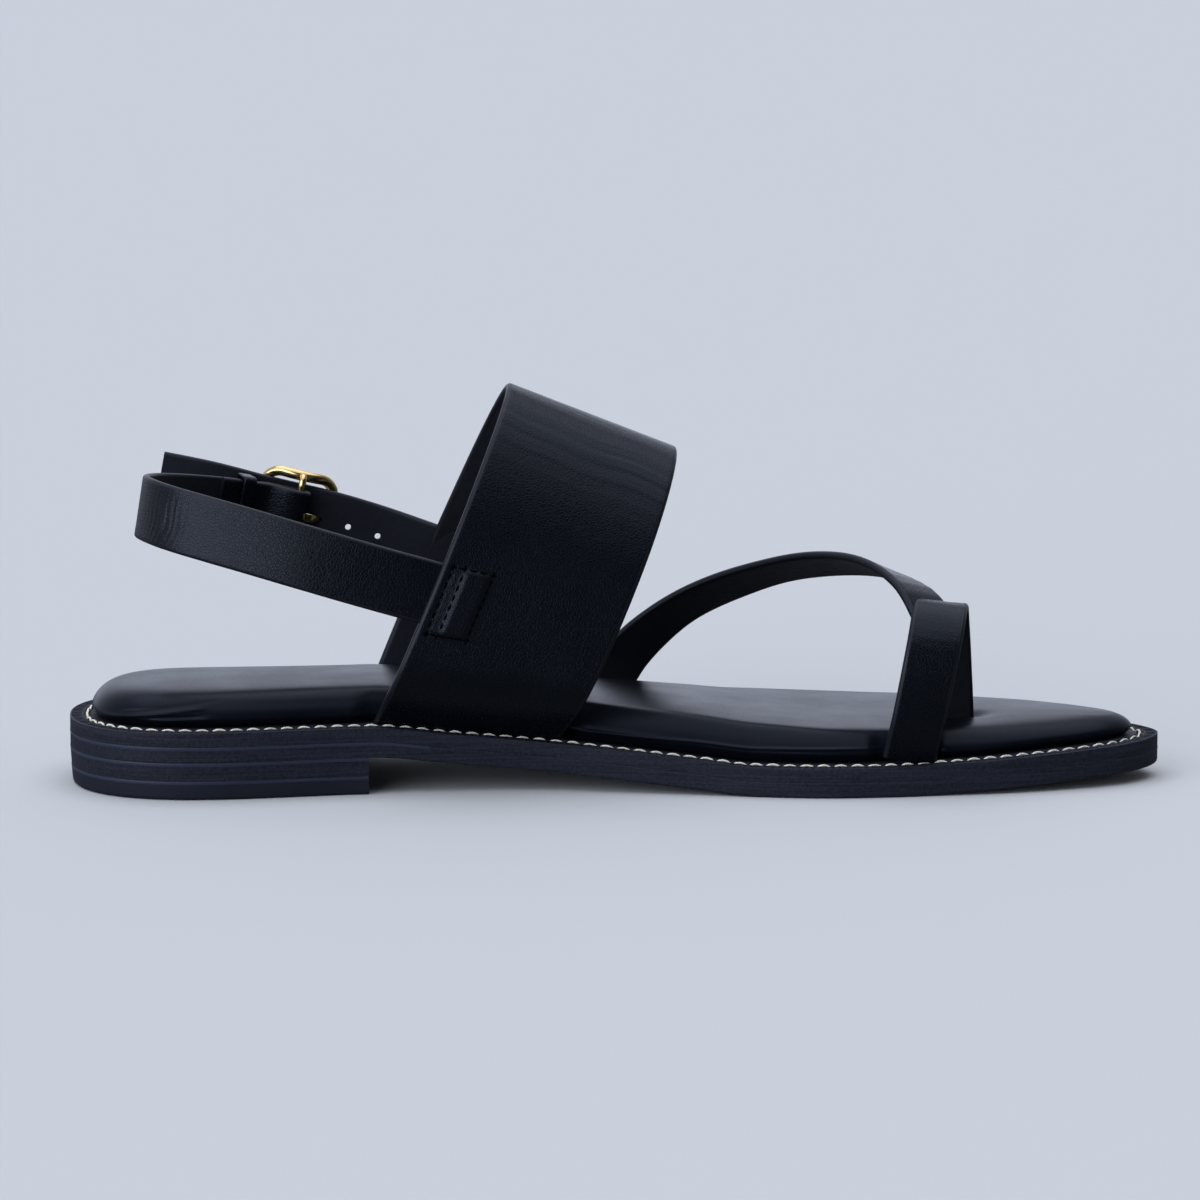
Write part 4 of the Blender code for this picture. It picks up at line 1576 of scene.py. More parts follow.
    def cap(self, builder: MeshBuilder, outline: Outline, edge: Array, ring: Array) -> None:
        """Close the top with strips from side to side, each with points between.

        Args:
            builder: The footbed's builder.
            outline: The sole's outline.
            edge: The points of the last ring.
            ring: The vertex numbers of the last ring.
        """
        count = len(ring)
        half = count // 2
        rim = outline.ring(self.inset.at(outline.points[:, 0]), LAST.welt_top)[::self.cap_stride, :2]
        left, right = edge[1:half], edge[:half:-1]
        shares = np.linspace(0, 1, self.cap_columns + 1)
        grid = left[:, None] + shares[None, :, None] * (right - left)[:, None]
        for row in grid[:, 1:-1]:
            gap = np.linalg.norm(row[:, None, :2] - rim[None], axis=2).min(axis=1)
            row[:, 2] = self.top(row[:, 0], gap) - self.tilt.at(row[:, 0]) * row[:, 1]
        for _ in range(self.cap_rounds):
            near = grid[:-2, 1:-1, 2] + grid[2:, 1:-1, 2] + grid[1:-1, :-2, 2] + grid[1:-1, 2:, 2]
            grid[1:-1, 1:-1, 2] = near / 4
        rows = [ring[:1]]
        for k, row in enumerate(grid[:, 1:-1], start=1):
            row[:, 2] -= self.dimple(row)
            rows.append(np.concatenate(([ring[k]], builder.add(row), [ring[count - k]])))
        rows.append(ring[half:half + 1])
        for near, far in zip(rows, rows[1:]):
            if len(near) == len(far):
                builder.quads(near, far, closed=False)
                continue
            point, row = (near[0], far) if len(near) == 1 else (far[0], near)
            for a, b in zip(row, row[1:]):
                builder.face((point, a, b))


@dataclass
class InstepBand:
    """The wide band over the instep, with the sewn patches that hold the sling and the billet."""

    finishes: Finishes
    thick: float = 2.2
    gap: float = 0.3
    spacing: float = 0.7
    face_step: float = 0.75
    slant: float = 0.425
    seat_rounds: int = 5
    leg_inset: float = 6.0
    leg_flare: float = 1.6
    planes: Row = (64.3, 110.0)
    crowns: Row = (92.6, 76.8)
    # Over the instep: across, share of the crown's height, and how far the front edge bows forwards
    across: tuple[float | None, ...] = (
        None, None, -27.8, -28.8, -28.2, -25, -18, -8.5, 1, 10, 19, 25.5, 29.3, 30.2, 29.2, None, None,
    )
    rises: Row = (
        0, 0.04, 0.15, 0.27, 0.42, 0.62, 0.82, 0.96, 1, 0.955, 0.82, 0.62, 0.42, 0.27, 0.15, 0.04, 0,
    )
    bows: Row = (0, 0.4, 1.2, 1.8, 2.0, 2.1, 1.9, 1.4, 1.2, 1.4, 1.9, 2.1, 2.0, 1.8, 1.2, 0.4, 0)
    # Distance from the band's end and phase of the folds on each side
    roll_places: tuple[Row, ...] = ((81.0, 0.0), (76.0, 2.1))
    roll_waves: tuple[Row, ...] = ((0.8, 9.0, 1.0), (0.35, 3.1, 2.0))
    roll_slope: float = 0.1
    roll_lean: float = 0.12
    roll_reach: float = 9.0
    fold_depth: float = 0.07
    fold_rate: float = 3.1
    fold_breaks: Row = (5.3, 3.0)
    swell_depth: float = 0.06
    swell_rate: float = 1.3
    patch_low: float = 25.7
    patch_high: float = 41.3
    patch_rear: float = 2.5
    patch_rows: Row = (0.0, 2.75, 9.5)
    patch_fade: float = 1.6
    pillow: float = 0.5
    pillow_fade: float = 2.4
    pillow_full: float = 1.3
    pillow_fall: float = 0.06
    strip: float = 0.04
    strip_fade: float = 1.2
    trench: float = 0.2
    trench_width: float = 0.4
    trench_over: float = 0.5
    trench_fade: float = 1.0
    stitch: Stitch = Stitch(pitch=2.1, length=1.7, rise=0.16, sink=0.2, thread=0.27)
    seam_points: int = 40

    @property
    def seam_rows(self) -> list[float]:
        """Return how far from the band's rear edge the patch's rows of stitches lie."""
        return [self.patch_rear + row for row in self.patch_rows]

    def edge(self, plane: int) -> list[Row]:
        """Draw an edge of the band, from the inner welt over the instep to the outer welt.

        Args:
            plane: Zero for the rear edge and one for the front.

        Returns:
            The edge's places.
        """
        base = self.planes[plane]
        for _ in range(self.seat_rounds):
            base = self.planes[plane] + self.slant * (float(LAST.welt_top(base)) + self.gap)
        foot = float(LAST.welt_top(base)) + self.gap
        rows = []
        for row, (across, rise, bow) in enumerate(zip(self.across, self.rises, self.bows)):
            side = Side.INNER if row < len(self.rises) // 2 else Side.OUTER
            height = foot + rise * (self.crowns[plane] - foot)
            if across is None:
                inset = self.leg_inset - (self.leg_flare if rise else 0)
                across = float(LAST.edge(base, side)) - side.value * inset
            rows.append((base + self.slant * (height - foot) + plane * bow, across, height))
        return rows

    def ribbon(self) -> Ribbon:
        """Draw the band as a strap with its relief.

        Returns:
            The strap.
        """
        both = smooth_path(np.hstack((self.edge(0), self.edge(1))), self.spacing)
        band = Ribbon(
            "instep_band", both[:, :3], both[:, 3:], self.thick, seated=True, face_step=self.face_step,
        )
        length = band.length

        def relief(along: Array, across: Array) -> Array:
            """Return the creases where the crown rolls into the legs, and the sewn patches."""
            ends = zip((along, length - along), self.roll_places)
            return sum(self.roll(end, across, *place) + self.patch(end, across) for end, place in ends)

        band.relief = relief
        return band

    def roll(self, along: Array, across: Array, middle: float, phase: float) -> Array:
        """Return fine folds that run across the band where the leather rolls.

        Args:
            along: Distances along the band.
            across: Distances from its rear edge.
            middle: Where along the band the folds are deepest.
            phase: What sets the folds of one side apart from those of the other.

        Returns:
            The lift at each place.
        """
        drift = wander(along + self.roll_slope * across, across, self.roll_waves, phase)
        fade = bell(along - middle + self.roll_lean * across, self.roll_reach)
        breaks = 0.6 + 0.4 * np.sin(across / self.fold_breaks[0] + drift / self.fold_breaks[1])
        folds = self.fold_depth * np.sin(drift * self.fold_rate) * breaks
        return fade * (folds + self.swell_depth * np.sin(drift * self.swell_rate + phase))

    def patch(self, along: Array, across: Array) -> Array:
        """Return the sewn patch: a soft pillow between trenches that the thread pulls in.

        Args:
            along: Distances along the band.
            across: Distances from its rear edge.

        Returns:
            The lift at each place.
        """
        low, high = self.patch_low, self.patch_high
        rear, second, front = self.seam_rows
        height = window(along, low, high, self.patch_fade)
        full = self.pillow_full - self.pillow_fall * (across - second)
        pillow = self.pillow * height * window(across, second, front, self.pillow_fade) * full
        strip = self.strip * height * window(across, rear, second, self.strip_fade)
        over, fade = self.trench_over, self.trench_fade
        rows = sum(bell(across - row, self.trench_width) for row in self.seam_rows)
        rows = rows * window(along, low - over, high + over, fade)
        ends = sum(bell(along - end, self.trench_width) for end in (low, high))
        ends = ends * window(across, rear, front, fade)
        return pillow + strip - self.trench * np.minimum(1.0, rows + ends)

    def seams(self, strap: Ribbon) -> list[tuple[Array, Array]]:
        """Draw the patches' seam lines on the band.

        Args:
            strap: The band.

        Returns:
            Each line's places and the directions out of the leather.
        """
        rows = self.seam_rows
        lines = [((self.patch_low, row), (self.patch_high, row)) for row in rows]
        lines += [((end, rows[0]), (end, rows[-1])) for end in (self.patch_low, self.patch_high)]
        found = []
        for start, end in lines:
            along, across = np.linspace(start, end, self.seam_points).T
            found.append(strap.on_grain(along, across))
            found.append(strap.on_grain(strap.length - along, across))
        return found

    def build(self) -> None:
        """Build the band and its stitching."""
        strap = self.ribbon()
        dress(strap.build(self.finishes.strap_faces()), Slot.STRAP, "upper_instep_sling")
        thread = self.finishes.black_thread
        runs = []
        for number, (places, normals) in enumerate(self.seams(strap)):
            runs.append(StitchRun(f"patch_run_{number}", places, normals, self.stitch, number).build(thread))
        dress(join("band_stitching", runs, thread), Slot.STRAP)


@dataclass
class Toes:
    """The toe loop and the cross strap that is sewn under the loop's crown."""

    finishes: Finishes | None = None
    thick: float = 2.0
    width: float = 12.6
    gap: float = 0.3
    loop_spacing: float = 0.6
    cross_spacing: float = 0.7
    crown: float = -26.0
    crown_reach: float = 6.0
    crown_tilt: float = 1.5
    loop_folds: StrapFolds = StrapFolds(((27.0, 5.0), (44.0, 4.0)), 0.03, 3.0, 0.9, 2.6)
    cross_folds: StrapFolds = StrapFolds(((108.0, 7.0),), 0.04, 1.9, 0.7, 3.0)
    # Station, across and height, where an open height is the welt's
    loop_rows: tuple[OpenRow, ...] = (
        (195.8, -32.8, None), (196.4, -33.6, 11), (197.4, -35.2, 16.5), (198.8, -36, 24),
        (200.2, -35.6, 31), (201.8, -33, 37.4), (203.2, -28.4, 41.4), (204.4, -23, 42.2),
        (205.4, -18, 38.8), (206.3, -14.6, 32.5), (207.2, -12, 23), (207.9, -10.3, 13), (208, -10, None),
    )
    rear_rows: tuple[OpenRow, ...] = (
        (121, 30, None), (122.5, 30.8, 14.5), (127, 33.6, 22), (133.6, 33.8, 29.3), (139.3, 31.8, 34.1),
        (145.8, 28, 38.8), (155.4, 21.5, 44.1), (164.8, 14, 48), (172.9, 6, 50.9), (180, -3, 52.4),
        (185.6, -12, 52.4), (191, -20.2, 50), (194.2, -25.4, 46.4), (196.6, -29.6, 41.2),
    )
    front_rows: tuple[OpenRow, ...] = (
        (133, 32.4, None), (134, 33.2, 11.5), (137.2, 36.4, 15.8), (141.2, 37.8, 21.2), (147, 36.6, 27.4),
        (153.2, 33.8, 32.6), (162.8, 27.6, 38.2), (172.5, 21, 42.7), (180.5, 13, 45.2), (187.7, 5, 46.7),
        (194, -4, 47.4), (199.6, -12.4, 46.5), (203.8, -18, 44.3), (206.8, -22.4, 40.4),
    )

    def seated(self, rows: Sequence[OpenRow]) -> Array:
        """Return a line's rows, with its open heights set just above the welt."""
        return np.array([
            (s, y, float(LAST.welt_top(s)) + self.gap if z is None else z) for s, y, z in rows
        ])

    def loop(self, name: str, grow: float = 0.0) -> Ribbon:
        """Draw the loop for the big toe.

        Args:
            name: The strap's name.
            grow: How much it grows all round, if it is to cut its slit.

        Returns:
            The strap.
        """
        path = smooth_path(self.seated(self.loop_rows), self.loop_spacing)
        edges = edges_beside(path, np.array((1.0, 0.0, 0.0)), self.width + 2 * grow)
        edges[0][:, 2] += self.crown_tilt * bell(path[:, 1] - self.crown, self.crown_reach)
        relief = None if grow else self.loop_folds.relief
        return Ribbon(name, *edges, self.thick + 2 * grow, seated=not grow, relief=relief)

    def cross(self) -> Ribbon:
        """Draw the strap from the outer welt across the toes to the loop.

        Returns:
            The strap.
        """
        rows = np.hstack((self.seated(self.rear_rows), self.seated(self.front_rows)))
        both = smooth_path(rows, self.cross_spacing)
        return Ribbon(
            "toe_cross_strap", both[:, :3], both[:, 3:], self.thick, grain_out=-1, seated=True,
            relief=self.cross_folds.relief,
        )

    def build(self) -> None:
        """Build both straps."""
        faces = self.finishes.strap_faces()
        dress(self.loop("toe_loop").build(faces), Slot.STRAP, "upper_toe_strap")
        dress(self.cross().build(faces), Slot.STRAP, "upper_toe_strap")


TOES = Toes()


@dataclass(frozen=True)
class BuckleSpace:
    """The buckle's own directions: along the strap, up across it and out from the foot."""

    bar: Row = (53.6, 29.35, 58.0)
    heading: Row = (1.0, 0.06, -0.25)

    @property
    def axes(self) -> tuple[Array, Array, Array]:
        """Work out the three directions.

        Returns:
            Along the strap, up across it and out from the foot.
        """
        u = unit(np.array(self.heading))
        w = unit(np.array((-u[1], u[0], 0.0)))
        return u, np.cross(u, w), w

    def at(self, u: float, v: float, w: float) -> Array:
        """Return a point given in the buckle's directions."""
        axes = self.axes
        return np.array(self.bar) + u * axes[0] + v * axes[1] + w * axes[2]


SPACE = BuckleSpace()


@dataclass
class HeelStrap:
    """The sling round the heel, folded over the buckle's bar, with the billet and the keeper."""

    finishes: Finishes
    thick: float = 1.6
    width: float = 15.0
    gap: float = 0.3
    bar_radius: float = 0.9
    ankle: Row = (90.0, 2.0, 50.0)
    sling_drop: float = -0.6
    sling_spacing: float = 0.32
    # Station, across, height and the strap's lean in degrees
    sling_rows: tuple[Row, ...] = (
        (99, -25.6, 43.3, 6), (92, -26.8, 45.4, 6), (86, -27.3, 47.2, 6), (78, -27.6, 49.5, 5),
        (66, -27.4, 53, 5), (52, -26, 57.1, 5), (40, -23.2, 60.4, 4), (30.3, -19.4, 62.8, 2),
        (23.1, -13.6, 64.3, -2), (18.9, -6.4, 65, -5), (17.6, 0, 65, -5), (19.1, 7, 64.5, -5),
        (23.5, 15, 63.5, -2), (28.6, 20.8, 62.5, 1), (34, 24.9, 61.5, 2), (38.6, 27.6, 60.6, 2),
        (43.4, 29.6, 59.6, 1),
    )
    fold_end: float = 33.0
    # Distance along from the bar, and how much closer the outer and the inner layer lie there
    fold_taper: tuple[Row, ...] = ((-7.5, 0.6, 1.4), (-3.5, 0.1, 0.4))
    fold_turn: int = 30
    # Middle along the sling, reach and height of each group
    creases: tuple[Row, ...] = ((81.0, 5.5, 0.085), (96.0, 9.0, 0.025), (120.0, 7.0, 0.03))
    crease_waves: tuple[Row, ...] = ((0.7, 4.2, 1.0), (0.35, 1.7, 2.0))
    crease_rates: Row = (3.7, 5.9)
    crease_share: float = 0.6
    crease_skew: float = 3.0
    crease_breaks: float = 2.9
    billet_lift: float = 0.7
    billet_spacing: float = 0.65
    billet_rows: tuple[Row, ...] = (
        (99, 27.1, 45, 4), (93, 27.6, 46.9, 4), (87, 28.4, 48.8, 4), (80.5, 30.2, 50.9, 2),
        (73, 31.9, 53.3, 0),
    )
    billet_over: tuple[Row, ...] = ((7.6, -0.7), (0.0, 0.1), (-7.6, 0.0))
    billet_tip: tuple[Row, ...] = ((34, 32.3, 63.9, 0), (21.2, 33.6, 66.5, 0))
    holes: int = 5
    hole_pitch: float = 7.4
    hole_first: float = 6.1
    hole_radius: float = 0.75
    hole_sides: int = 28
    worn_radius: float = 0.66
    punch_reach: float = 2.4
    slot_reach: Row = (1.7, 4.4)
    slot_lift: float = 0.7
    slot_size: Row = (2.5, 8.0)
    keeper_station: float = 40.0
    keeper_width: float = 3.4
    keeper_thick: float = 1.0
    keeper_spacing: float = 0.5
    keeper_corner: int = 7
    keeper_points: int = 120
    keeper_step: float = 0.5

    @property
    def layer(self) -> float:
        """Return the distance between two layers of the strap."""
        return self.thick + self.gap

    @property
    def fold_radius(self) -> float:
        """Return the radius of the fold's middle line round the bar."""
        return self.bar_radius + self.gap + self.thick / 2

    def leaning(self, path: Array) -> tuple[Array, Array]:
        """Draw the edges of an upright strap.

        Args:
            path: Its middle line, with the degrees by which its top leans towards the foot.

        Returns:
            The two edges.
        """
        points, lean = path[:, :3], np.radians(path[:, 3])
        along = tangents(points)
        up = np.broadcast_to(SPACE.axes[1], points.shape)
        up = unit(up - np.sum(up * along, axis=1)[:, None] * along)
        inward = np.cross(along, up)
        inward *= np.sign(np.sum(inward * (np.array(self.ankle) - points), axis=1))[:, None]
        return edges_beside(points, up * np.cos(lean)[:, None] + inward * np.sin(lean)[:, None], self.width)

    def sling_path(self) -> Array:
        """Draw the sling's middle line, round the heel, round the bar and back to its end.

        Returns:
            The line's places and leans.
        """
        drop, radius = self.sling_drop, self.fold_radius
        rows = [list(row) for row in self.sling_rows]
        rows += [[*SPACE.at(u, drop, radius - outer), 0] for u, outer, _ in self.fold_taper]
        for turn in range(90, -91, -self.fold_turn):
            angle = math.radians(turn)
            rows.append([*SPACE.at(radius * math.cos(angle), drop, radius * math.sin(angle)), 0])
        rows += [[*SPACE.at(u, drop, inner - radius), 0] for u, _, inner in self.fold_taper[::-1]]
        outside = np.array(self.sling_rows)
        heading = np.gradient(outside[:, :3], axis=0)
        inward = unit(np.column_stack((heading[:, 1], -heading[:, 0])))
        for row in range(len(outside) - 1, 0, -1):
            if outside[row, 0] < self.fold_end or outside[row, 1] < 0:
                break
            inner = outside[row].copy()
            inner[:2] += self.layer * inward[row]
            rows.append(list(inner))
        return smooth_path(rows, self.sling_spacing)

    def sling_relief(self, along: Array, across: Array) -> Array:
        """Return the upright creases where the sling bends round the heel.

        Args:
            along: Distances along the sling.
            across: Distances from its lower edge.

        Returns:
            The lift at each place.
        """
        total = 0.0
        coarse, fine = self.crease_rates
        for middle, spread, size in self.creases:
            drift = wander(along, across, self.crease_waves, middle)
            waves = self.crease_share * np.sin(drift * fine + across / self.crease_skew)
            waves = waves + np.sin(drift * coarse)
            breaks = 0.5 + 0.5 * np.sin(across / self.crease_breaks + middle)
            total = total + size * bell(along - middle, spread) * waves * breaks
        return total

    def billet_path(self) -> Array:
        """Draw the billet's middle line, from inside the band through the buckle to its square tip.

        Returns:
            The line's places and leans.
        """
        over = self.fold_radius + self.layer
        rows = [list(row) for row in self.billet_rows]
        rows += [[*SPACE.at(u, self.billet_lift, over + lift), 0] for u, lift in self.billet_over]
        return smooth_path(rows + [list(row) for row in self.billet_tip], self.billet_spacing)

    def punches(self, path: Array) -> list[Object]:
        """Make the cutters of the billet's round holes, the worn middle one a little smaller.

        Args:
            path: The billet's middle line.

        Returns:
            The cutters.
        """
        u, v, w = SPACE.axes
        along = (path[:, :3] - np.array(SPACE.bar)) @ u
        turns = np.linspace(0, 2 * math.pi, self.hole_sides, endpoint=False)
        circle = np.outer(np.cos(turns), u) + np.outer(np.sin(turns), v)
        made = []
        for k in range(self.holes):
            step = k - self.holes // 2
            reach = self.hole_first + step * self.hole_pitch
            centre = np.array([np.interp(reach, along[::-1], path[::-1, column]) for column in range(3)])
            spokes = (self.hole_radius if step else self.worn_radius) * circle
            builder = MeshBuilder(f"punch_{k}")
            builder.skin([
                builder.add(centre + spokes + out * w) for out in (-self.punch_reach, self.punch_reach)
            ])
            made.append(builder.finish([self.finishes.edge]))
        return made

    def slot(self) -> Object:
        """Make the cutter of the slot in the fold, which lets the prong through.

        Returns:
            The cutter.
        """
        width, depth = (size / 2 for size in self.slot_size)
        start, end = self.slot_reach
        corners = (start, -width), (end, -width), (end, width), (start, width)
        builder = MeshBuilder("prong_slot")
        builder.skin([
            builder.add(np.array([SPACE.at(u, v + self.slot_lift, w) for u, v in corners]))
            for w in (-depth, depth)
        ])
        return builder.finish([self.finishes.edge])

    def keeper(self) -> Ribbon:
        """Draw the loop that holds the sling's folded end together.

        Returns:
            The strap.
        """
        path = smooth_path(self.sling_rows, self.keeper_spacing)
        path = path[path[:, 1] > 0]
        low, high = self.leaning(path)
        middle = int(np.argmin(abs(path[:, 0] - self.keeper_station)))
        along = unit(path[middle + 1, :3] - path[middle - 1, :3])
        up = unit(high[middle] - low[middle])
        inward = unit(np.cross(along, up))
        centre = path[middle, :3] + inward * self.layer / 2
        space = self.gap + self.keeper_thick / 2
        tall, deep = self.width / 2 + space, self.layer / 2 + self.thick / 2 + space
        corners = rounded_rectangle(tall, deep, space, self.keeper_corner)
        ring = resample(centre + corners @ np.array((up, inward)), self.keeper_points)
        reach = along * self.keeper_width / 2
        return Ribbon(
            "keeper_loop", ring - reach, ring + reach, self.keeper_thick, grain_out=-1, closed=True,
            face_step=self.keeper_step,
        )

    def build(self) -> None:
        """Build the sling, the billet and the keeper."""
        faces = self.finishes.strap_faces()
        edges = self.leaning(self.sling_path())
        sling = Ribbon("heel_sling", *edges, self.thick, relief=self.sling_relief).build(faces)
        cut(sling, [self.slot()])
        dress(sling, Slot.STRAP, "upper_instep_sling")
        path = self.billet_path()
        billet = Ribbon("buckle_billet", *self.leaning(path), self.thick, grain_out=-1).build(faces)
        cut(billet, self.punches(path))
        dress(billet, Slot.STRAP, "upper_instep_sling")
        keeper = self.keeper().build([self.finishes.strap, self.finishes.lining, self.finishes.strap])
        dress(keeper, Slot.STRAP, "strap_keeper")


@dataclass
class Buckle:
    """The cast frame with its centre bar, and the prong that hangs on the bar."""

    finishes: Finishes
    length: float = 16.9
    height: float = 22.9
    corner: float = 3.8
    corner_steps: int = 13
    ring_points: int = 150
    camber_middle: float = 2.4
    camber_rail: float = 6.2
    rail: float = 1.28
    rail_flat: float = 0.92
    bar: float = 0.9
    bar_spacing: float = 0.5
    gap: float = 0.3
    strap_width: float = 15.0
    sling_drop: float = -0.6
    # Height past the strap's edge and distance out, where the bar turns in behind the strap
    crank_rows: tuple[Row, ...] = ((0.4, 0.4), (-0.6, 0.0), (-2.5, 0.0))
    prong: float = 0.6
    prong_lift: float = 0.7
    prong_gap: float = 0.08
    prong_spacing: float = 0.25
    # Distance along from the bar and out from it, then the same from the rail
    prong_rows: tuple[Row, ...] = ((3.6, 0.9), (5.2, 1.8), (6.0, 3.1), (6.2, 4.6), (6.35, 5.8))
    prong_end: tuple[Row, ...] = ((-1.3, -0.6), (0.0, 0.0), (1.3, 0.0))
    prong_turn: int = 15
    prong_sides: int = 24
    prong_square: float = 0.5
    tip_points: int = 5
    tip_share: float = 0.96
    tongue_places: Row = (0.0, 0.4, 0.6, 1.0)
    tongue_widths: Row = (1.1, 1.1, 0.75, 0.85)

    def tube(
        self, name: str, path: Array, radius: Array | float, closed: bool = False, sides: int = 20,
        flat: float = 1.0, broad: Array | float = 1.0, square: float = 1.0,
    ) -> Object:
        """Build a bar along a path.

        Args:
            name: The bar's name.
            path: Its middle line.
            radius: Its radius, for each point or for all.
            closed: Whether it is one closed ring.
            sides: How many points its section has.
            flat: The share of the radius that it keeps outwards.
            broad: The share of the radius sideways, for each point or for all.
            square: The power of its section, one for a round one and less for a squarer one.

        Returns:
            The bar.
        """
        along = tangents(path, closed)
        radius = np.broadcast_to(np.asarray(radius, float), len(path))
        broad = np.broadcast_to(np.asarray(broad, float), len(path))
        level = np.abs(along @ SPACE.axes[1]).max() < 0.5
        guide = SPACE.axes[1] if level else SPACE.axes[2]
        side = unit(np.cross(along, np.cross(guide, along))) if level else unit(np.cross(along, guide))
        other = np.cross(side, along)
        turns = np.linspace(0, 2 * math.pi, sides, endpoint=False)
        wide, deep = (np.sign(reach) * np.abs(reach) ** square for reach in (np.cos(turns), np.sin(turns)))
        builder = MeshBuilder(name)
        rings = []
        for k in range(len(path)):
            spokes = broad[k] * np.outer(wide, side[k]) + flat * np.outer(deep, other[k])
            rings.append(builder.add(path[k] + radius[k] * spokes))
        builder.skin(rings, closed)
        return builder.finish([self.finishes.brass])

    def depth(self, u: float) -> float:
        """Return how far out the cambered frame lies at a distance along the strap."""
        share = abs(u) / (self.length / 2)
        return self.camber_middle + (self.camber_rail - self.camber_middle) * share ** 2

    def build(self) -> None:
        """Build the frame and the prong."""
        long, tall = self.length / 2, self.height / 2 - self.rail
        ring = resample(rounded_rectangle(long, tall, self.corner, self.corner_steps), self.ring_points)
        path = np.array([SPACE.at(u, v, self.depth(u)) for u, v in ring])
        frame = self.tube("cast_frame", path, self.rail, closed=True, flat=self.rail_flat)
        crank = self.strap_width / 2 + self.gap + self.bar - self.sling_drop
        rows = [(tall, self.camber_middle)] + [(crank + v, w) for v, w in self.crank_rows]
        rows += [(-v, w) for v, w in rows[::-1]]
        bar = smooth_path([SPACE.at(0, v, w) for v, w in rows], self.bar_spacing)
        cut(frame, [self.tube("centre_bar", bar, self.bar)], Cut.UNITE)
        frame.data.shade_smooth()
        frame.data.set_sharp_from_angle(angle=math.radians(SHARP))
        dress(frame, Slot.BRASS, "buckle_frame")
        dress(self.tongue(), Slot.BRASS, "buckle_prong")

    def tongue(self) -> Object:
        """Build the prong, from its loop on the bar through the billet to the rail, with a rounded tip.

        Returns:
            The prong.
        """
        loop = self.bar + self.prong_gap + self.prong
        turns = np.radians(np.arange(-270, self.prong_turn, self.prong_turn))
        rows = [(loop * math.cos(t), loop * math.sin(t)) for t in turns] + list(self.prong_rows)
        rail, out = self.length / 2, self.camber_rail + self.rail + self.gap + self.prong
        rows += [(rail + u, out + w) for u, w in self.prong_end]
        path = smooth_path([SPACE.at(u, self.prong_lift, w) for u, w in rows], self.prong_spacing)
        radius = np.full(len(path), self.prong)
        tip = self.tip_share * np.linspace(0, 1, self.tip_points)
        radius[-self.tip_points:] = self.prong * np.sqrt(1 - tip ** 2)
        broad = np.interp(np.linspace(0, 1, len(path)), self.tongue_places, self.tongue_widths) / self.prong
        return self.tube(
            "cast_prong", path, radius, sides=self.prong_sides, broad=broad, square=self.prong_square,
        )


@dataclass(frozen=True)
class SkyWindow:
    """A bright round window in the sky: its direction, the angles it fades between and its power."""

    towards: Row
    near: float
    far: float
    power: float


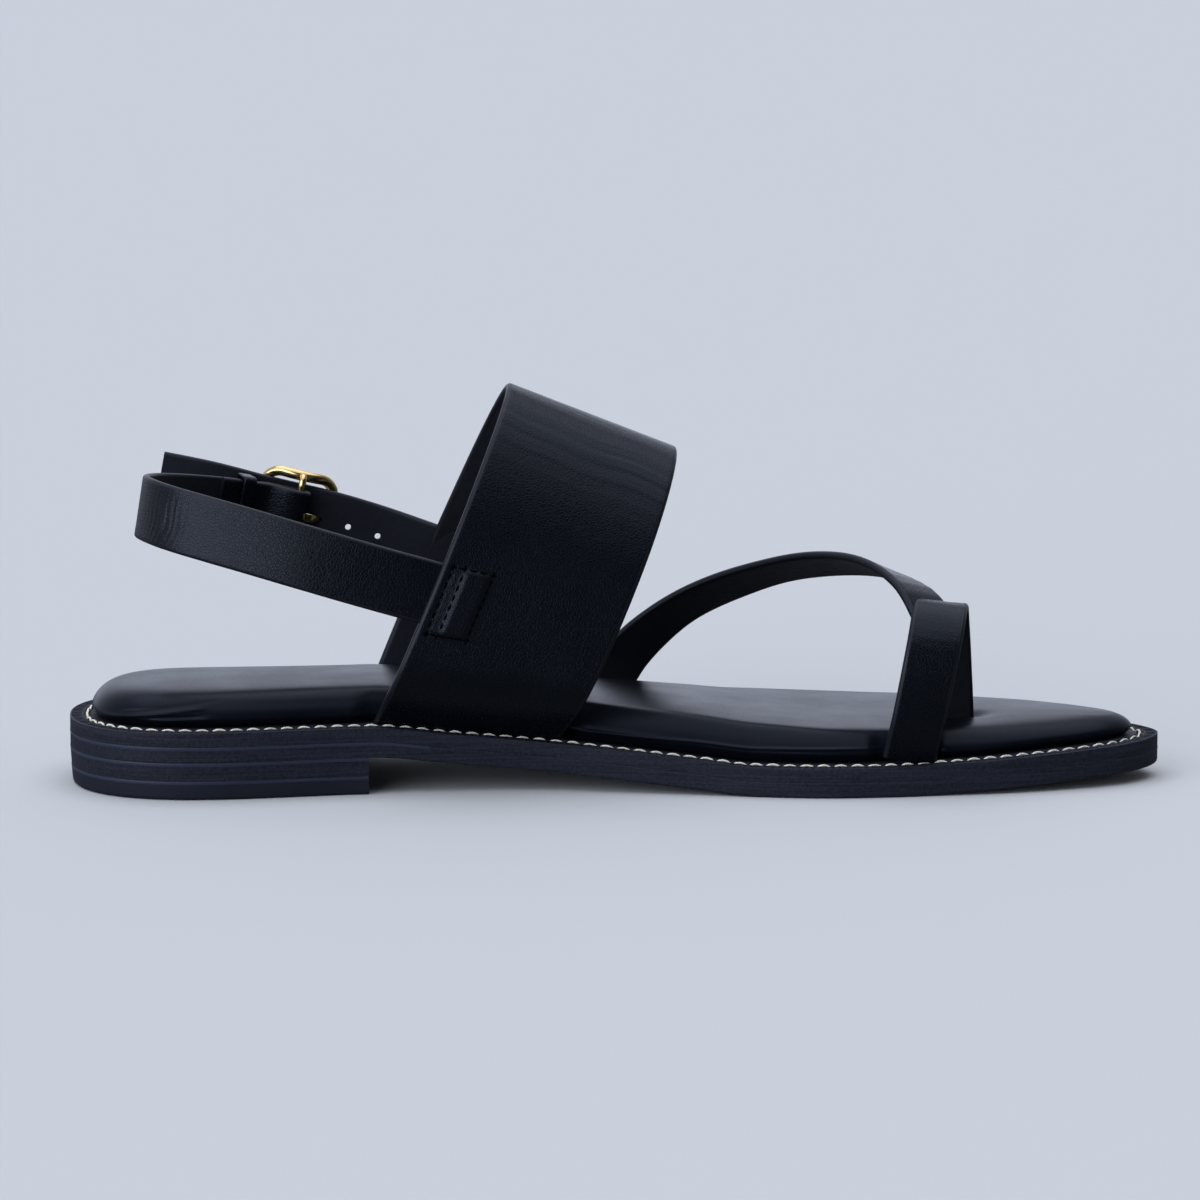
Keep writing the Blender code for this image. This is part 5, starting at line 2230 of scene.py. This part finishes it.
@dataclass(frozen=True)
class Studio:
    """The pale floor, the soft lights and the camera of a plain product picture."""

    lens: float = 150.0
    sensor: float = 36.0
    azimuth: float = -4.0
    elevation: float = 8.5
    distance: float = 1.156
    target: Row = (-0.0055, -0.0365, 0.0464)
    floor_colour: str = "#cac9c3"
    floor_roughness: float = 0.9
    floor_size: float = 60.0
    sky_colour: str = "#d9e1f6"
    sky_power: float = 0.75
    sky_least: float = 0.08
    sky_from: Row = (-0.4, 0.92, 0.0)
    sky_span: Row = (-0.7, 0.6)
    ground_power: float = 0.16
    horizon: Row = (-0.08, 0.02)
    windows: tuple[SkyWindow, ...] = (
        SkyWindow((0.0, -0.07, 1.0), 37.0, 42.0, 1.75),
        SkyWindow((-0.7, -0.7, 0.12), 26.0, 37.0, 3.9),
        SkyWindow((0.0, 0.98, 0.16), 16.0, 44.0, 0.65),
    )
    lamp_colour: str = "#fbf8f4"
    lamp_from: Row = (-0.05, 0.25, 1.0)
    lamp_power: float = 0.1
    lamp_spread: float = 40.0

    def build(self) -> None:
        """Build the floor, the light and the camera."""
        self.floor()
        self.sky()
        self.window_light()
        self.camera()
        bpy.context.scene.view_settings.view_transform = "Standard"
        bpy.context.scene.view_settings.look = "None"

    def floor(self) -> None:
        """Lay the pale floor, which the gloss of the leather mirrors only as the sky's dim lower half."""
        builder = MeshBuilder("floor")
        half = self.floor_size / 2 / MM
        corners = (-half, -half, 0), (half, -half, 0), (half, half, 0), (-half, half, 0)
        builder.face(builder.add(np.array(corners)))
        paint = bpy.data.materials.new("pale_paper_floor")
        paint.use_nodes = True
        shader = paint.node_tree.nodes["Principled BSDF"]
        shader.inputs["Base Color"].default_value = linear(self.floor_colour)
        shader.inputs["Roughness"].default_value = self.floor_roughness
        shader.inputs["Specular IOR Level"].default_value = 0.0
        made = builder.finish([paint])
        made.visible_glossy = False

    def sky(self) -> None:
        """Light the scene softly from all round, least from the camera, with a few brighter windows."""
        made = bpy.data.worlds.new("studio")
        bpy.context.scene.world = made
        made.use_nodes = True
        tree = made.node_tree
        tree.nodes.clear()
        place = add_node(tree, "ShaderNodeTexCoord").outputs["Generated"]
        parts = add_node(tree, "ShaderNodeSeparateXYZ", {"Vector": place}).outputs
        total: Socket | None = None
        low, high = self.sky_span
        glows = [(self.sky_from, low, high, self.sky_least, self.sky_power)]
        for pane in self.windows:
            edges = [math.cos(math.radians(angle)) for angle in (pane.far, pane.near)]
            glows.append((pane.towards, *edges, 0.0, pane.power))
        for towards, low, high, least, most in glows:
            close = add_node(
                tree, "ShaderNodeVectorMath", {0: place, 1: Vector(towards).normalized()},
                operation="DOT_PRODUCT",
            ).outputs["Value"]
            glow = add_node(
                tree, "ShaderNodeMapRange",
                {"Value": close, "From Min": low, "From Max": high, "To Min": least, "To Max": most},
                interpolation_type="SMOOTHSTEP",
            ).outputs["Result"]
            if total is not None:
                glow = add_node(tree, "ShaderNodeMath", {0: total, 1: glow}, operation="ADD").outputs[0]
            total = glow
        ground, above = self.horizon
        over = add_node(
            tree, "ShaderNodeMapRange", {"Value": parts["Z"], "From Min": ground, "From Max": above},
        ).outputs["Result"]
        power = add_node(
            tree, "ShaderNodeMix", {"Factor": over, "A": self.ground_power, "B": total}, data_type="FLOAT",
        ).outputs["Result"]
        light = add_node(tree, "ShaderNodeBackground", {"Color": linear(self.sky_colour), "Strength": power})
        add_node(tree, "ShaderNodeOutputWorld", {"Surface": light.outputs["Background"]})

    def window_light(self) -> None:
        """Let broad light fall from overhead, so that the soft shadow stays under the shoe."""
        lamp = bpy.data.lights.new("window_light", "SUN")
        lamp.energy = self.lamp_power
        lamp.angle = math.radians(self.lamp_spread)
        lamp.color = linear(self.lamp_colour)[:3]
        made = stand("window_light", lamp)
        made.rotation_euler = (-Vector(self.lamp_from)).to_track_quat("-Z", "Y").to_euler()

    def camera(self) -> None:
        """Set the camera at the picture's angle."""
        turn, tilt = math.radians(-self.azimuth), math.radians(self.elevation)
        ahead = Vector((math.sin(turn) * math.cos(tilt), math.cos(turn) * math.cos(tilt), -math.sin(tilt)))
        data = bpy.data.cameras.new("camera")
        data.lens, data.sensor_width = self.lens, self.sensor
        made = stand("camera", data)
        made.location = Vector(self.target) - self.distance * ahead
        made.rotation_euler = ahead.to_track_quat("-Z", "Y").to_euler()
        bpy.context.scene.camera = made


def main() -> None:
    """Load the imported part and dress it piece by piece."""
    logging.basicConfig(level=logging.INFO, format="%(name)s: %(message)s")
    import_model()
    finishes = Finishes.mixed()
    TOES.finishes = finishes
    Studio().build()
    Sole(finishes).build()
    Footbed(finishes).build()
    InstepBand(finishes).build()
    TOES.build()
    HeelStrap(finishes).build()
    Buckle(finishes).build()


if __name__ == "__main__":
    main()
